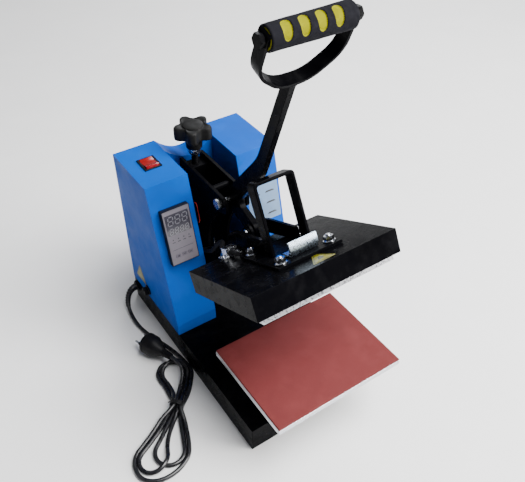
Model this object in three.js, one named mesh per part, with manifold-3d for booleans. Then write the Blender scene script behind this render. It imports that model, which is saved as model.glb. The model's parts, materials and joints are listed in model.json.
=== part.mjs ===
// Small clamshell heat press: a base with two electrics towers, a fixed lower plate with a silicone pad,
// and a heated upper platen on an arm that a hand lever swings down through a toggle link.
// Millimetres. +X right, +Y back, +Z up. Origin: middle of the base pan's underside.
import * as THREE from 'three';
import { mergeVertices } from 'three/addons/utils/BufferGeometryUtils.js';
import Module from 'manifold-3d';

const wasm = await Module();
wasm.setup();

// ---------------------------------------------------------------- driving dimensions
const GAP = 0.3; // clearance between separate pieces
const BASE = { halfWidth: 116.3, front: -170.3, back: 230, height: 48, wall: 2 };
const TOWER = {
  outer: 116.6, inner: 43.8, top: 318.2, topFront: 116.5, frontFoot: 55.5, footTop: 70, wall: 1.5,
};
const PLATE = { width: 220.4, front: -230, depth: 168, bottom: 111, thickness: 9, pad: 3 };
const PLATEN = { width: 232.8, front: -238.5, depth: 186, top: 167.1, height: 34.3, wall: 1.5 };
const OPEN_ANGLE = THREE.MathUtils.degToRad(27.9); // how far the arm stands open at rest
const PIVOT = { y: 134.4, z: 118.7 }; // main hinge, along X
const LEVER_PIVOT = { y: 60, z: 288 }; // hand lever's hinge, along X
const LEVER_TRAVEL = THREE.MathUtils.degToRad(57.7);
// From the lever's pivot to the link pin, with the lever open.
const CRANK = { length: 65.52, angle: THREE.MathUtils.degToRad(195.64) };
const LINK_LENGTH = 87.93;
const TOGGLE_PIN = { y: 16, z: 141 }; // link's pin on the arm, arm closed
const RAIL_TOP = 301; // upper edge of the frame's side plates
const FRAME_X = 16.2; // inner face of a frame side plate
const ARM_X = 24; // inner face of an arm plate
const LINK_X = 6.5; // inner face of a link plate
const STEEL = 5; // plate thickness of frame and links
const ARM_STEEL = 6;
const LEVER_STEEL = 10;
const ROUND = 24; // sides of a round piece
const CORD_EXIT = { y: 219, z: 32 }; // where the mains cord leaves the base's left wall

// ---------------------------------------------------------------- materials
const paint = (color, roughness, metalness) => ({ color, roughness, metalness });
const LOOKS = {
  blue: paint(0x2a78c8, 0.45, 0.1),
  black: paint(0x151517, 0.28, 0.2),
  steel: paint(0xb9bcc0, 0.35, 0.9),
  zinc: paint(0xc9d0d4, 0.3, 0.9),
  aluminium: paint(0xd8dadc, 0.4, 0.9),
  silicone: paint(0x9c4a44, 0.7, 0),
  plastic: paint(0x1b1b1d, 0.55, 0),
  red: paint(0xb3271f, 0.35, 0),
  foam: paint(0x3b3a42, 0.9, 0),
  face: paint(0xa9a9ad, 0.5, 0.2),
  glass: paint(0x4c4a48, 0.2, 0),
  fibre: paint(0xe4e0d2, 0.9, 0),
  key: paint(0x8c8c92, 0.5, 0),
  cord: paint(0x17171a, 0.6, 0),
};

// ---------------------------------------------------------------- shape helpers
function solidOf(geometry) {
  const plain = geometry.index ? geometry.toNonIndexed() : geometry.clone();
  plain.deleteAttribute('normal');
  plain.deleteAttribute('uv');
  const merged = mergeVertices(plain, 1e-4);
  const mesh = new wasm.Mesh({
    numProp: 3,
    vertProperties: new Float32Array(merged.attributes.position.array),
    triVerts: new Uint32Array(merged.index.array),
  });
  return new wasm.Manifold(mesh);
}

function geometryOf(solid) {
  const mesh = solid.getMesh();
  const geometry = new THREE.BufferGeometry();
  geometry.setAttribute('position', new THREE.BufferAttribute(mesh.vertProperties, 3));
  geometry.setIndex(new THREE.BufferAttribute(mesh.triVerts, 1));
  geometry.computeVertexNormals();
  return geometry;
}

function join(first, ...others) {
  return geometryOf(others.reduce((sum, other) => sum.add(solidOf(other)), solidOf(first)));
}

function cut(body, ...tools) {
  return geometryOf(tools.reduce((rest, tool) => rest.subtract(solidOf(tool)), solidOf(body)));
}

function box(x0, x1, y0, y1, z0, z1) {
  const geometry = new THREE.BoxGeometry(x1 - x0, y1 - y0, z1 - z0);
  return geometry.translate((x0 + x1) / 2, (y0 + y1) / 2, (z0 + z1) / 2);
}

function rodX(y, z, radius, x0, x1, sides = ROUND) {
  const geometry = new THREE.CylinderGeometry(radius, radius, x1 - x0, sides);
  return geometry.rotateZ(-Math.PI / 2).translate((x0 + x1) / 2, y, z);
}

function rodZ(x, y, radius, z0, z1, sides = ROUND) {
  const geometry = new THREE.CylinderGeometry(radius, radius, z1 - z0, sides);
  return geometry.rotateX(Math.PI / 2).translate(x, y, (z0 + z1) / 2);
}

// Closed outline through corners [u, v, radius], each rounded by its radius as far as its edges allow.
function outline(corners) {
  const points = corners.map(([u, v, radius = 0]) => ({ at: new THREE.Vector2(u, v), radius }));
  const shape = new THREE.Shape();
  points.forEach((corner, index) => {
    const before = points[(index + points.length - 1) % points.length].at;
    const after = points[(index + 1) % points.length].at;
    const room = 0.48 * Math.min(before.distanceTo(corner.at), after.distanceTo(corner.at));
    const radius = Math.min(corner.radius, room);
    const start = before.clone().sub(corner.at).setLength(radius).add(corner.at);
    const end = after.clone().sub(corner.at).setLength(radius).add(corner.at);
    if (index === 0) {
      shape.moveTo(start.x, start.y);
    } else {
      shape.lineTo(start.x, start.y);
    }
    if (corner.radius > 0) {
      shape.quadraticCurveTo(corner.at.x, corner.at.y, end.x, end.y);
    }
  });
  shape.closePath();
  return shape;
}

// The same outline moved inwards by a distance. The corners run anticlockwise.
function inset(corners, distance) {
  return corners.map(([u, v], index) => {
    const here = new THREE.Vector2(u, v);
    const before = new THREE.Vector2(...corners[(index + corners.length - 1) % corners.length]);
    const after = new THREE.Vector2(...corners[(index + 1) % corners.length]);
    const a = here.clone().sub(before).normalize();
    const b = after.clone().sub(here).normalize();
    const inward = new THREE.Vector2(-a.y - b.y, a.x + b.x).normalize();
    const stretch = distance / Math.cos(Math.acos(THREE.MathUtils.clamp(a.dot(b), -1, 1)) / 2);
    return [u + inward.x * stretch, v + inward.y * stretch];
  });
}

// A plate whose outline lies in (y, z), from x0 to x1.
function plateX(shape, x0, x1, curveSegments = 6) {
  const geometry = new THREE.ExtrudeGeometry(shape, { depth: x1 - x0, bevelEnabled: false, curveSegments });
  const turn = new THREE.Matrix4().set(0, 0, 1, x0, 1, 0, 0, 0, 0, 1, 0, 0, 0, 0, 0, 1);
  return geometry.applyMatrix4(turn);
}

// A plate whose outline lies in (x, z), from y0 to y1.
function plateY(shape, y0, y1, curveSegments = 6) {
  const geometry = new THREE.ExtrudeGeometry(shape, { depth: y1 - y0, bevelEnabled: false, curveSegments });
  return geometry.rotateX(Math.PI / 2).translate(0, y1, 0);
}

// A plate whose outline lies in (x, y), from z0 to z1.
function plateZ(shape, z0, z1, curveSegments = 6) {
  const geometry = new THREE.ExtrudeGeometry(shape, { depth: z1 - z0, bevelEnabled: false, curveSegments });
  return geometry.translate(0, 0, z0);
}

function disc(radius, sides) {
  const shape = new THREE.Shape();
  for (let side = 0; side < sides; side += 1) {
    const angle = ((side + 0.5) / sides) * 2 * Math.PI;
    const point = [radius * Math.cos(angle), radius * Math.sin(angle)];
    if (side === 0) {
      shape.moveTo(...point);
    } else {
      shape.lineTo(...point);
    }
  }
  shape.closePath();
  return shape;
}

// A round bar or cable along a curve.
function tube(curve, radius, steps, sides = 8) {
  return new THREE.ExtrudeGeometry(disc(radius, sides), { steps, extrudePath: curve, bevelEnabled: false });
}

function smooth(points) {
  return new THREE.CatmullRomCurve3(points.map((point) => new THREE.Vector3(...point)), false, 'centripetal');
}

const heatPress = new THREE.Group();
heatPress.name = 'heat_press';

function add(parent, name, geometry, look) {
  const mesh = new THREE.Mesh(geometry, new THREE.MeshStandardMaterial(LOOKS[look]));
  mesh.name = name;
  parent.add(mesh);
  return mesh;
}

const SIDES = [['left', -1], ['right', 1]];
const spanX = (side, near, far) => (side < 0 ? [-far, -near] : [near, far]);

// ---------------------------------------------------------------- base
function baseFrame() {
  const { halfWidth: w, front, back, height, wall } = BASE;
  const hollow = box(-w + wall, w - wall, front + wall, back - wall, -1, height - wall);
  const cableHole = box(-100, -66, 150, 200, height - wall - 1, height + 1);
  const glandHole = rodX(CORD_EXIT.y, CORD_EXIT.z, 8.4, -w - 1, -w + wall + 1);
  return cut(box(-w, w, front, back, 0, height), hollow, cableHole, glandHole);
}

function basePan() {
  const edge = BASE.wall + GAP;
  const { halfWidth: w, front, back } = BASE;
  return box(-w + edge, w - edge, front + edge, back - edge, 0, 2);
}

function pedestal() {
  const y = PLATE.front + PLATE.depth / 2;
  const low = BASE.height + GAP;
  const high = PLATE.bottom - GAP;
  const foot = box(-60, 60, y - 5, y + 75, low, low + 4);
  const column = box(-45, 45, y + 5, y + 65, low, high);
  const head = box(-70, 70, y - 55, y + 70, high - 4, high);
  return cut(join(foot, column, head), box(-42, 42, y + 8, y + 62, low - 1, high + 1));
}

function lowerPlate() {
  const { width, front, depth, bottom, thickness } = PLATE;
  return box(-width / 2, width / 2, front, front + depth, bottom, bottom + thickness);
}

function siliconePad() {
  const { width, front, depth, bottom, thickness, pad } = PLATE;
  const low = bottom + thickness + 0.05;
  return box(-width / 2 + 0.5, width / 2 - 0.5, front + 0.5, front + depth - 0.5, low, low + pad);
}

// ---------------------------------------------------------------- towers
const TOWER_PROFILE = [
  [TOWER.frontFoot, BASE.height + GAP],
  [BASE.back, BASE.height + GAP],
  [BASE.back, TOWER.top],
  [TOWER.topFront, TOWER.top],
  [TOWER.frontFoot, TOWER.footTop],
];

function towerShell(side) {
  const { inner, outer, wall } = TOWER;
  const [x0, x1] = spanX(side, inner, outer);
  const [h0, h1] = spanX(side, inner + wall, outer - wall);
  const room = inset(TOWER_PROFILE, wall);
  room[0][1] -= 3 * wall;
  room[1][1] -= 3 * wall;
  return cut(plateX(outline(TOWER_PROFILE), x0, x1), plateX(outline(room), h0, h1));
}

// Slanted front of the towers: x across, y up the slope, z out of the face, from the top edge's middle.
const FRONT_TILT = Math.atan2(TOWER.top - TOWER.footTop, TOWER.topFront - TOWER.frontFoot);
const TOWER_MID = (TOWER.inner + TOWER.outer) / 2;
const CONTROLLER = { width: 48, height: 96, top: -41.5, proud: 11, depth: 70 };

function onFrontFace(geometry) {
  return geometry.rotateX(FRONT_TILT).translate(-TOWER_MID, TOWER.topFront, TOWER.top);
}

const SWITCH = { y: 173, width: 29, length: 33, flange: 2.2, bodyWidth: 26.2, bodyLength: 30.2 };
const FUSE = { y: 167, z: 64 };

function leftTower() {
  const { width, height, top } = CONTROLLER;
  const window = onFrontFace(box(-width / 2 + 1.4, width / 2 - 1.4, top - height + 2, top - 2, -8, 5));
  const { y, bodyWidth: w, bodyLength: l } = SWITCH;
  const play = 0.2;
  const [halfW, halfL] = [w / 2 + play, l / 2 + play];
  const switchHole = box(-TOWER_MID - halfW, -TOWER_MID + halfW, y - halfL, y + halfL, 310, 325);
  const fuseHole = rodX(FUSE.y, FUSE.z, 6.3, -TOWER.outer - 1, -TOWER.outer + 3);
  const cableHole = rodX(CABLE_ENTRY.y, CABLE_ENTRY.z, 5.4, -TOWER.inner - 3, -TOWER.inner + 1);
  return cut(towerShell(-1), window, switchHole, fuseHole, cableHole);
}

// Rear cover that joins the towers, with a dished top.
const BRIDGE = { front: 192, back: BASE.back - 1, dip: 23 };

function dishedOutline(half, low, top, dip) {
  const shape = new THREE.Shape();
  shape.moveTo(-half, low);
  shape.lineTo(half, low);
  shape.lineTo(half, top);
  shape.quadraticCurveTo(0, top - 2 * dip, -half, top);
  shape.closePath();
  return shape;
}

function rearBridge() {
  const half = TOWER.inner - GAP;
  const { wall } = TOWER;
  const low = BASE.height + GAP;
  const body = plateY(dishedOutline(half, low, TOWER.top, BRIDGE.dip), BRIDGE.front, BRIDGE.back, 10);
  const inner = dishedOutline(half - wall, low - 2, TOWER.top - 2.5 * wall, BRIDGE.dip);
  const room = plateY(inner, BRIDGE.front + wall, BRIDGE.back - wall, 10);
  return cut(body, room);
}

// ---------------------------------------------------------------- electrics in the left tower
function controllerCase() {
  const { width, height, top, proud, depth } = CONTROLLER;
  const rim = box(-width / 2, width / 2, top - height, top, GAP, proud);
  const tub = box(-width / 2 + 2, width / 2 - 2, top - height + 2.6, top - 2.6, -depth, GAP + 1);
  const mouth = box(-width / 2 + 0.9, width / 2 - 0.9, top - height + 0.9, top - 0.9, proud - 3, proud + 1);
  const room = box(-width / 2 + 4, width / 2 - 4, top - height + 5, top - 5, -depth + 2, proud);
  return onFrontFace(cut(join(rim, tub), mouth, room));
}

const FACE = { low: CONTROLLER.proud - 2.7, high: CONTROLLER.proud - 0.4 };
const DISPLAY = { width: 41, height: 36, top: CONTROLLER.top - 8 };
const KEYS = ['key_set', 'key_down', 'key_up'];
const KEY = { width: 8, height: 6, pitch: 11, y: CONTROLLER.top - 84 };

function keyBox(index, play, low, high) {
  const x = (index - 1) * KEY.pitch;
  const half = KEY.width / 2 + play;
  return box(x - half, x + half, KEY.y - play, KEY.y + KEY.height + play, low, high);
}

function controllerFace() {
  const { width, height, top } = CONTROLLER;
  const sheet = box(-width / 2 + 1.2, width / 2 - 1.2, top - height + 1.2, top - 1.2, FACE.low, FACE.high);
  const { width: dw, height: dh, top: dt } = DISPLAY;
  const display = box(-dw / 2, dw / 2, dt - dh, dt, FACE.low - 1, FACE.high + 1);
  const keyHoles = KEYS.map((name, index) => keyBox(index, GAP, FACE.low - 1, FACE.high + 1));
  return onFrontFace(cut(sheet, display, ...keyHoles));
}

function displayWindow() {
  const { width: w, height: h, top } = DISPLAY;
  return onFrontFace(box(-w / 2 + GAP, w / 2 - GAP, top - h + GAP, top - GAP, FACE.low, FACE.high - 0.2));
}

function keyCap(index) {
  return onFrontFace(keyBox(index, 0, FACE.low + 0.3, FACE.high + 0.5));
}

function switchHousing() {
  const { y, width, length, flange, bodyWidth: w, bodyLength: l } = SWITCH;
  const x = -TOWER_MID;
  const low = TOWER.top + 0.1;
  const rim = box(x - width / 2, x + width / 2, y - length / 2, y + length / 2, low, low + flange);
  const tub = box(x - w / 2, x + w / 2, y - l / 2, y + l / 2, low - 20, low + 1);
  const tabs = [-8, 0, 8].map((step) => box(x - 3, x + 3, y + step - 0.4, y + step + 0.4, low - 28, low - 19));
  const mouth = box(x - 11.2, x + 11.2, y - 14.3, y + 14.3, low - 17, low + flange + 1);
  return cut(join(rim, tub, ...tabs), mouth);
}

const ROCKER = { radius: 13.9, halfWidth: 10.8, pivotZ: TOWER.top + 0.6, lean: THREE.MathUtils.degToRad(7) };

function rocker() {
  const { radius, halfWidth } = ROCKER;
  const shape = new THREE.Shape();
  const low = THREE.MathUtils.degToRad(-30);
  const high = THREE.MathUtils.degToRad(17);
  shape.absarc(0, 0, radius, low, high, false);
  shape.quadraticCurveTo(radius * 0.45, 1.6, 0, 1.9);
  shape.quadraticCurveTo(-radius * 0.45, 1.6, -radius * Math.cos(high), radius * Math.sin(high));
  shape.absarc(0, 0, radius, Math.PI - high, Math.PI - low, false);
  shape.closePath();
  return plateX(shape, -halfWidth, halfWidth, 8);
}

function fuseHolder() {
  const wall = -TOWER.outer;
  const flange = rodX(FUSE.y, FUSE.z, 9.5, wall - 2.3, wall - GAP);
  const barrel = rodX(FUSE.y, FUSE.z, 6, wall - 1, wall + 32);
  return join(flange, barrel);
}

function fuseCap() {
  const wall = -TOWER.outer;
  return rodX(FUSE.y, FUSE.z, 7.5, wall - 10, wall - 2.6, 16);
}

function relay() {
  return box(-104, -60, 160, 218, 75, 98);
}

function terminalBlock() {
  const body = box(-106, -52, 100, 122, BASE.height + 2, BASE.height + 14);
  const slots = [-98, -88, -78, -68, -58].map((x) => {
    return box(x - 3, x + 3, 104, 118, BASE.height + 9, BASE.height + 15);
  });
  return cut(body, ...slots);
}

// ---------------------------------------------------------------- frame between the towers
const FRAME_LOW = BASE.height + GAP;
const FRAME_FOOT = 5;

// Welded frame: a foot, two side plates and the tie bar that the lift spring's rear leg hooks behind.
function mainFrame() {
  const low = FRAME_LOW + FRAME_FOOT;
  const corners = [
    [82, low - 1], [187, low - 1], [187, RAIL_TOP, 4], [44, RAIL_TOP, 8], [41, 276, 8],
    [72, 266, 20], [112, 190, 40], [96, 118, 20],
  ];
  const sides = SIDES.map(([, side]) => plateX(outline(corners), ...spanX(side, FRAME_X, FRAME_X + STEEL)));
  const foot = box(-40, 40, 74, 190, FRAME_LOW, low);
  const tieBar = rodX(172, 80, 6, -FRAME_X - 1, FRAME_X + 1, 16);
  const holes = [
    rodX(PIVOT.y, PIVOT.z, 6.1, -60, 60),
    rodX(LEVER_PIVOT.y, LEVER_PIVOT.z, 5.1, -60, 60),
  ];
  return cut(join(foot, ...sides, tieBar), ...holes);
}

const SCREW = { y: 172, radius: 6 };

function crossBlock() {
  const half = FRAME_X - GAP;
  const body = box(-half, half, SCREW.y - 12, SCREW.y + 12, 266, 291);
  return cut(body, rodZ(0, SCREW.y, SCREW.radius + GAP, 260, 295));
}

function frontSpacer() {
  return rodX(95, 290, 5, -FRAME_X + GAP, FRAME_X - GAP, 16);
}

const ARM_OUTER = ARM_X + ARM_STEEL;

function mainShaft() {
  const shaft = rodX(PIVOT.y, PIVOT.z, 6, -ARM_OUTER - 1, 41);
  return join(shaft, rodX(PIVOT.y, PIVOT.z, 10.4, -ARM_OUTER - 8, -ARM_OUTER - GAP, 6));
}

function shaftNut() {
  const low = ARM_OUTER + GAP;
  return cut(rodX(PIVOT.y, PIVOT.z, 10.4, low, low + 8, 6), rodX(PIVOT.y, PIVOT.z, 6.1, low - 1, low + 9));
}

function leverPin() {
  const pin = rodX(LEVER_PIVOT.y, LEVER_PIVOT.z, 5, -FRAME_X - STEEL - 1, FRAME_X + STEEL + 9);
  const head = rodX(LEVER_PIVOT.y, LEVER_PIVOT.z, 9, -FRAME_X - STEEL - 7, -FRAME_X - STEEL - GAP, 6);
  return join(pin, head);
}

function leverPinNut() {
  const x = FRAME_X + STEEL + GAP;
  const { y, z } = LEVER_PIVOT;
  return cut(rodX(y, z, 9, x, x + 7, 6), rodX(y, z, 5.1, x - 1, x + 8));
}

// Torsion spring on the main shaft: its rear leg hooks behind a spacer, its front leg lifts the arm.
function liftSpring() {
  const radius = 9;
  const wire = 1.6;
  const turns = 6;
  const half = 10.5;
  const points = [];
  const steps = turns * 12;
  for (let step = 0; step <= steps; step += 1) {
    const angle = (step / steps) * turns * 2 * Math.PI;
    const x = -half + (2 * half * step) / steps;
    points.push([x, PIVOT.y + radius * Math.cos(angle), PIVOT.z + radius * Math.sin(angle)]);
  }
  points.unshift([-half, PIVOT.y + radius, PIVOT.z - 34]);
  points.push([half, PIVOT.y + radius, PIVOT.z + 26]);
  return tube(smooth(points), wire, steps + 16, 6);
}

// ---------------------------------------------------------------- pressure knob
function adjustingScrew() {
  return rodZ(0, SCREW.y, SCREW.radius, 236.4, 352, 20);
}

function lockNut() {
  const hex = rodZ(0, SCREW.y, 10.4, 311, 320, 6);
  return cut(hex, rodZ(0, SCREW.y, SCREW.radius + 0.1, 305, 325, 20));
}

function starKnob() {
  const lobes = 5;
  const turn = (23 * Math.PI) / 180;
  const shape = new THREE.Shape();
  const steps = lobes * 12;
  for (let step = 0; step < steps; step += 1) {
    const angle = (step / steps) * 2 * Math.PI;
    const radius = 26.5 + 5 * Math.cos(lobes * (angle - turn));
    const point = [radius * Math.cos(angle), radius * Math.sin(angle)];
    if (step === 0) {
      shape.moveTo(...point);
    } else {
      shape.lineTo(...point);
    }
  }
  shape.closePath();
  const head = plateZ(shape, 341, 363).translate(0, SCREW.y, 0);
  const hub = rodZ(0, SCREW.y, 14, 322, 343);
  return cut(join(head, hub), rodZ(0, SCREW.y, SCREW.radius + 0.1, 315, 352.5, 20));
}

// ---------------------------------------------------------------- arm and heated platen, drawn closed
const MOUNT = { y: -151, half: 52.5, low: PLATEN.top + GAP, thickness: 4.5, bolt: 40 };
const MOUNT_TOP = MOUNT.low + MOUNT.thickness;

function armPlate(side) {
  const corners = [
    [PIVOT.y + 18, PIVOT.z - 2, 14], [PIVOT.y + 2, PIVOT.z + 19, 14], [40, 157, 20], [12, 160, 14],
    [-40, 196, 20], [-136, 192, 6], [-136, MOUNT_TOP + GAP], [-40, MOUNT_TOP + GAP, 4], [-40, 142, 16],
    [-4, 124, 16], [PIVOT.y - 4, PIVOT.z - 17, 14],
  ];
  const reversed = corners.slice().reverse();
  const plate = plateX(outline(reversed), ...spanX(side, ARM_X, ARM_X + ARM_STEEL));
  return cut(plate, rodX(PIVOT.y, PIVOT.z, 6.1, -60, 60), rodX(TOGGLE_PIN.y, TOGGLE_PIN.z, 6.1, -60, 60));
}

function togglePin() {
  const reach = ARM_X + ARM_STEEL + 2;
  return rodX(TOGGLE_PIN.y, TOGGLE_PIN.z, 6, -reach, reach);
}

function mountBoltHoles(radius, low, high) {
  const holes = [];
  for (const x of [-MOUNT.bolt, MOUNT.bolt]) {
    for (const y of [-MOUNT.bolt, MOUNT.bolt]) {
      holes.push(rodZ(x, MOUNT.y + y, radius, low, high, 16));
    }
  }
  return holes;
}

function mountPlate() {
  const { y, half, low } = MOUNT;
  const holes = mountBoltHoles(4.4, low - 1, MOUNT_TOP + 1);
  return cut(box(-half, half, y - half, y + half, low, MOUNT_TOP), ...holes);
}

function mountBolt(x, y) {
  const stud = rodZ(x, MOUNT.y + y, 4, 146, MOUNT_TOP + 13, 16);
  const washer = rodZ(x, MOUNT.y + y, 9, MOUNT_TOP + GAP, MOUNT_TOP + GAP + 1.6, 20);
  const nut = rodZ(x, MOUNT.y + y, 7.5, MOUNT_TOP + GAP + 1, MOUNT_TOP + 8.5, 6);
  return join(stud, washer, nut);
}

function yoke() {
  const { width, top, depth, bar, y } = { width: 66, top: 276.2, depth: 20, bar: 5, y: -149 };
  const half = width / 2;
  const low = MOUNT_TOP + GAP;
  const hoop = [[-half, low], [half, low], [half, top, 7], [-half, top, 7]];
  const space = [
    [-half + bar, low - 5], [half - bar, low - 5], [half - bar, top - bar, 4], [-half + bar, top - bar, 4],
  ];
  return cut(plateY(outline(hoop), y - depth / 2, y + depth / 2), plateY(outline(space), y - 20, y + 20));
}

// Curved zinc-plated rest in front of the yoke, bent up from a foot on the mounting plate.
function leverRest() {
  const low = MOUNT_TOP + GAP;
  const shape = new THREE.Shape();
  shape.moveTo(-168, low);
  shape.lineTo(-168, low + 3);
  shape.lineTo(-184, low + 3);
  shape.quadraticCurveTo(-191, low + 10, -187.5, low + 21);
  shape.lineTo(-190.4, low + 21.8);
  shape.quadraticCurveTo(-195, low + 9, -188, low);
  shape.closePath();
  return plateX(shape, -23, 23, 8);
}

function platenCover() {
  const { width, front, depth, top, height, wall } = PLATEN;
  const half = width / 2;
  const outer = box(-half, half, front, front + depth, top - height, top);
  const room = box(-half + wall, half - wall, front + wall, front + depth - wall, top - height - 1, top - wall);
  return cut(outer, room, ...mountBoltHoles(4.4, top - 3, top + 1));
}

const HEATER = { width: 214, front: -232.5, depth: 171, low: 123.9, thickness: 17 };

function heatingPlate() {
  const { width, front, depth, low, thickness } = HEATER;
  const half = width / 2;
  const plate = box(-half, half, front, front + depth, low, low + thickness);
  const groove = cut(
    box(-half + 22, half - 22, front + 22, front + depth - 22, low + 9, low + thickness + 1),
    box(-half + 34, half - 34, front + 34, front + depth - 34, low + 8, low + thickness + 2),
  );
  return cut(plate, groove);
}

function heatingElement() {
  const { width, front, depth, low, thickness } = HEATER;
  const half = width / 2;
  const ring = box(-half + 24, half - 24, front + 24, front + depth - 24, low + 9.5, low + thickness - 1);
  const middle = box(-half + 32, half - 32, front + 32, front + depth - 32, low + 8, low + thickness + 2);
  return cut(ring, middle);
}

function insulation() {
  const { width, front, depth, low, thickness } = HEATER;
  const half = width / 2;
  const bottom = low + thickness + GAP;
  const blanket = box(-half, half, front + 2, front + depth, bottom, bottom + 12);
  return cut(blanket, ...mountBoltHoles(4.6, bottom - 1, bottom + 20));
}

// Cable clamp on the platen cover, and the heater's sleeved cable along the arm to the main hinge.
const CLAMP = { x: -51, y: -64 };
const CABLE_ENTRY = { y: PIVOT.y - 4, z: PIVOT.z + 30 };

function cableClamp() {
  const { x, y } = CLAMP;
  const low = PLATEN.top + GAP;
  const foot = box(x - 16, x + 16, y - 9, y + 9, low, low + 2.5);
  const hump = box(x - 9, x + 9, y - 8, y + 8, low, low + 14);
  const bore = new THREE.CylinderGeometry(4.3, 4.3, 40, 16).translate(x, y, low + 7);
  return cut(join(foot, hump), bore);
}

function heaterCable() {
  const z = PLATEN.top + GAP + 7;
  const points = [
    [CLAMP.x, CLAMP.y - 26, z - 1], [CLAMP.x, CLAMP.y, z], [CLAMP.x, CLAMP.y + 24, z + 1], [-44, -30, 180],
    [-38.6, 0, 172], [-38, 50, 150], [-38, 95, 148], [-38, PIVOT.y - 12, 149], [-38.2, PIVOT.y - 4, 149],
  ];
  return tube(smooth(points), 3.8, 56, 8);
}

// ---------------------------------------------------------------- toggle links, drawn closed
const CLOSED_CRANK = CRANK.angle + LEVER_TRAVEL;
const LINK_TOP = {
  y: LEVER_PIVOT.y + CRANK.length * Math.cos(CLOSED_CRANK),
  z: LEVER_PIVOT.z + CRANK.length * Math.sin(CLOSED_CRANK),
};
const OPEN_TOP = {
  y: LEVER_PIVOT.y + CRANK.length * Math.cos(CRANK.angle),
  z: LEVER_PIVOT.z + CRANK.length * Math.sin(CRANK.angle),
};

const OPEN_PIN = turned(TOGGLE_PIN, PIVOT, -OPEN_ANGLE);

// A point turned about a centre in the (y, z) plane.
function turned(point, centre, angle) {
  const y = point.y - centre.y;
  const z = point.z - centre.z;
  return {
    y: centre.y + y * Math.cos(angle) - z * Math.sin(angle),
    z: centre.z + y * Math.sin(angle) + z * Math.cos(angle),
  };
}

// Two link plates joined by a spacer. The bosses at the upper end cover the link pin's ends.
function toggleLink() {
  const along = { y: (OPEN_TOP.y - OPEN_PIN.y) / LINK_LENGTH, z: (OPEN_TOP.z - OPEN_PIN.z) / LINK_LENGTH };
  const corner = (step, offset, radius) => [
    OPEN_PIN.y + along.y * step - along.z * offset,
    OPEN_PIN.z + along.z * step + along.y * offset,
    radius,
  ];
  const half = 11;
  const end = LINK_LENGTH + half;
  const ends = [[-half, -half], [-half, half], [end, half], [end, -half]];
  const corners = ends.map(([step, offset]) => corner(step, offset, 10));
  const plates = SIDES.map(([, side]) => plateX(outline(corners), ...spanX(side, LINK_X, LINK_X + STEEL)));
  const bosses = SIDES.map(([, side]) => {
    return rodX(OPEN_TOP.y, OPEN_TOP.z, 8, ...spanX(side, LINK_X + 1, LINK_X + STEEL + 3), 20);
  });
  const [middleY, middleZ] = corner(LINK_LENGTH / 2, 0);
  const spacer = rodX(middleY, middleZ, 5, -LINK_X - 1, LINK_X + 1, 16);
  return cut(join(spacer, ...plates, ...bosses), rodX(OPEN_PIN.y, OPEN_PIN.z, 6.1, -30, 30));
}

// ---------------------------------------------------------------- hand lever, drawn open
const BEND = { y: -28, z: 400 };
const BOW = { y: -80.7, z: 544.7 };
const GRIP = { y: -112.3, z: 622.4, length: 112, radius: 14 };

// Bar from the bow down to its bend and on to the pivot, in one plate with the crank.
function leverBar() {
  const half = LEVER_STEEL / 2;
  const corners = [
    [BOW.y - 7.5, BOW.z + 0.1], [BEND.y - 5.8, BEND.z - 3, 14], [BEND.y + 1, BEND.z - 20, 14],
    [LEVER_PIVOT.y - 24, LEVER_PIVOT.z + 9, 14], [OPEN_TOP.y - 13, OPEN_TOP.z + 10, 10],
    [OPEN_TOP.y - 9, OPEN_TOP.z - 14, 10], [LEVER_PIVOT.y + 3, LEVER_PIVOT.z - 15, 12],
    [LEVER_PIVOT.y + 17, LEVER_PIVOT.z + 2, 12], [BEND.y + 10, BEND.z + 7, 14], [BOW.y + 6.2, BOW.z + 5.9],
  ];
  const holes = [
    rodX(LEVER_PIVOT.y, LEVER_PIVOT.z, 5.1, -10, 10),
    rodX(OPEN_TOP.y, OPEN_TOP.z, 5.1, -10, 10),
  ];
  return cut(plateX(outline(corners), -half, half), ...holes);
}

function linkPin() {
  return rodX(OPEN_TOP.y, OPEN_TOP.z, 5, -LINK_X + 0.2, LINK_X - 0.2, 20);
}

// Handle plane: x across, y from the bow's foot up to the grip.
const HANDLE_TILT = Math.atan2(GRIP.z - BOW.z, GRIP.y - BOW.y);
const HANDLE_REACH = Math.hypot(GRIP.z - BOW.z, GRIP.y - BOW.y);

function onHandle(geometry) {
  return geometry.rotateX(HANDLE_TILT).translate(0, BOW.y, BOW.z);
}

function handleBow() {
  const half = GRIP.length / 2 + 4;
  const bar = 4;
  const lift = 3.4;
  const ends = HANDLE_REACH + 11;
  const outer = [
    [-half, ends, 8], [-half, 36, 20], [-22, lift, 18], [22, lift, 18], [half, 36, 20], [half, ends, 8],
  ];
  const inner = [
    [-half + bar, ends + 5], [-half + bar, 37.5, 18], [-20.5, lift + bar, 16], [20.5, lift + bar, 16],
    [half - bar, 37.5, 18], [half - bar, ends + 5],
  ];
  const strap = cut(plateZ(outline(outer), -9, 9, 14), plateZ(outline(inner), -12, 12, 14));
  const hole = rodX(0, 0, 5.2, -half - 5, half + 5).translate(0, HANDLE_REACH, 0);
  return onHandle(cut(strap, hole));
}

const GRIP_END = GRIP.length / 2 + 4 + GAP; // just outside the bow's ends

function gripBolt() {
  const rod = rodX(GRIP.y, GRIP.z, 5, -GRIP_END - 1, GRIP_END + 9, 20);
  return join(rod, rodX(GRIP.y, GRIP.z, 9, -GRIP_END - 6, -GRIP_END, 6));
}

function gripNut() {
  return cut(rodX(GRIP.y, GRIP.z, 9, GRIP_END, GRIP_END + 7, 6), rodX(GRIP.y, GRIP.z, 5.1, 50, 80));
}

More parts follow.
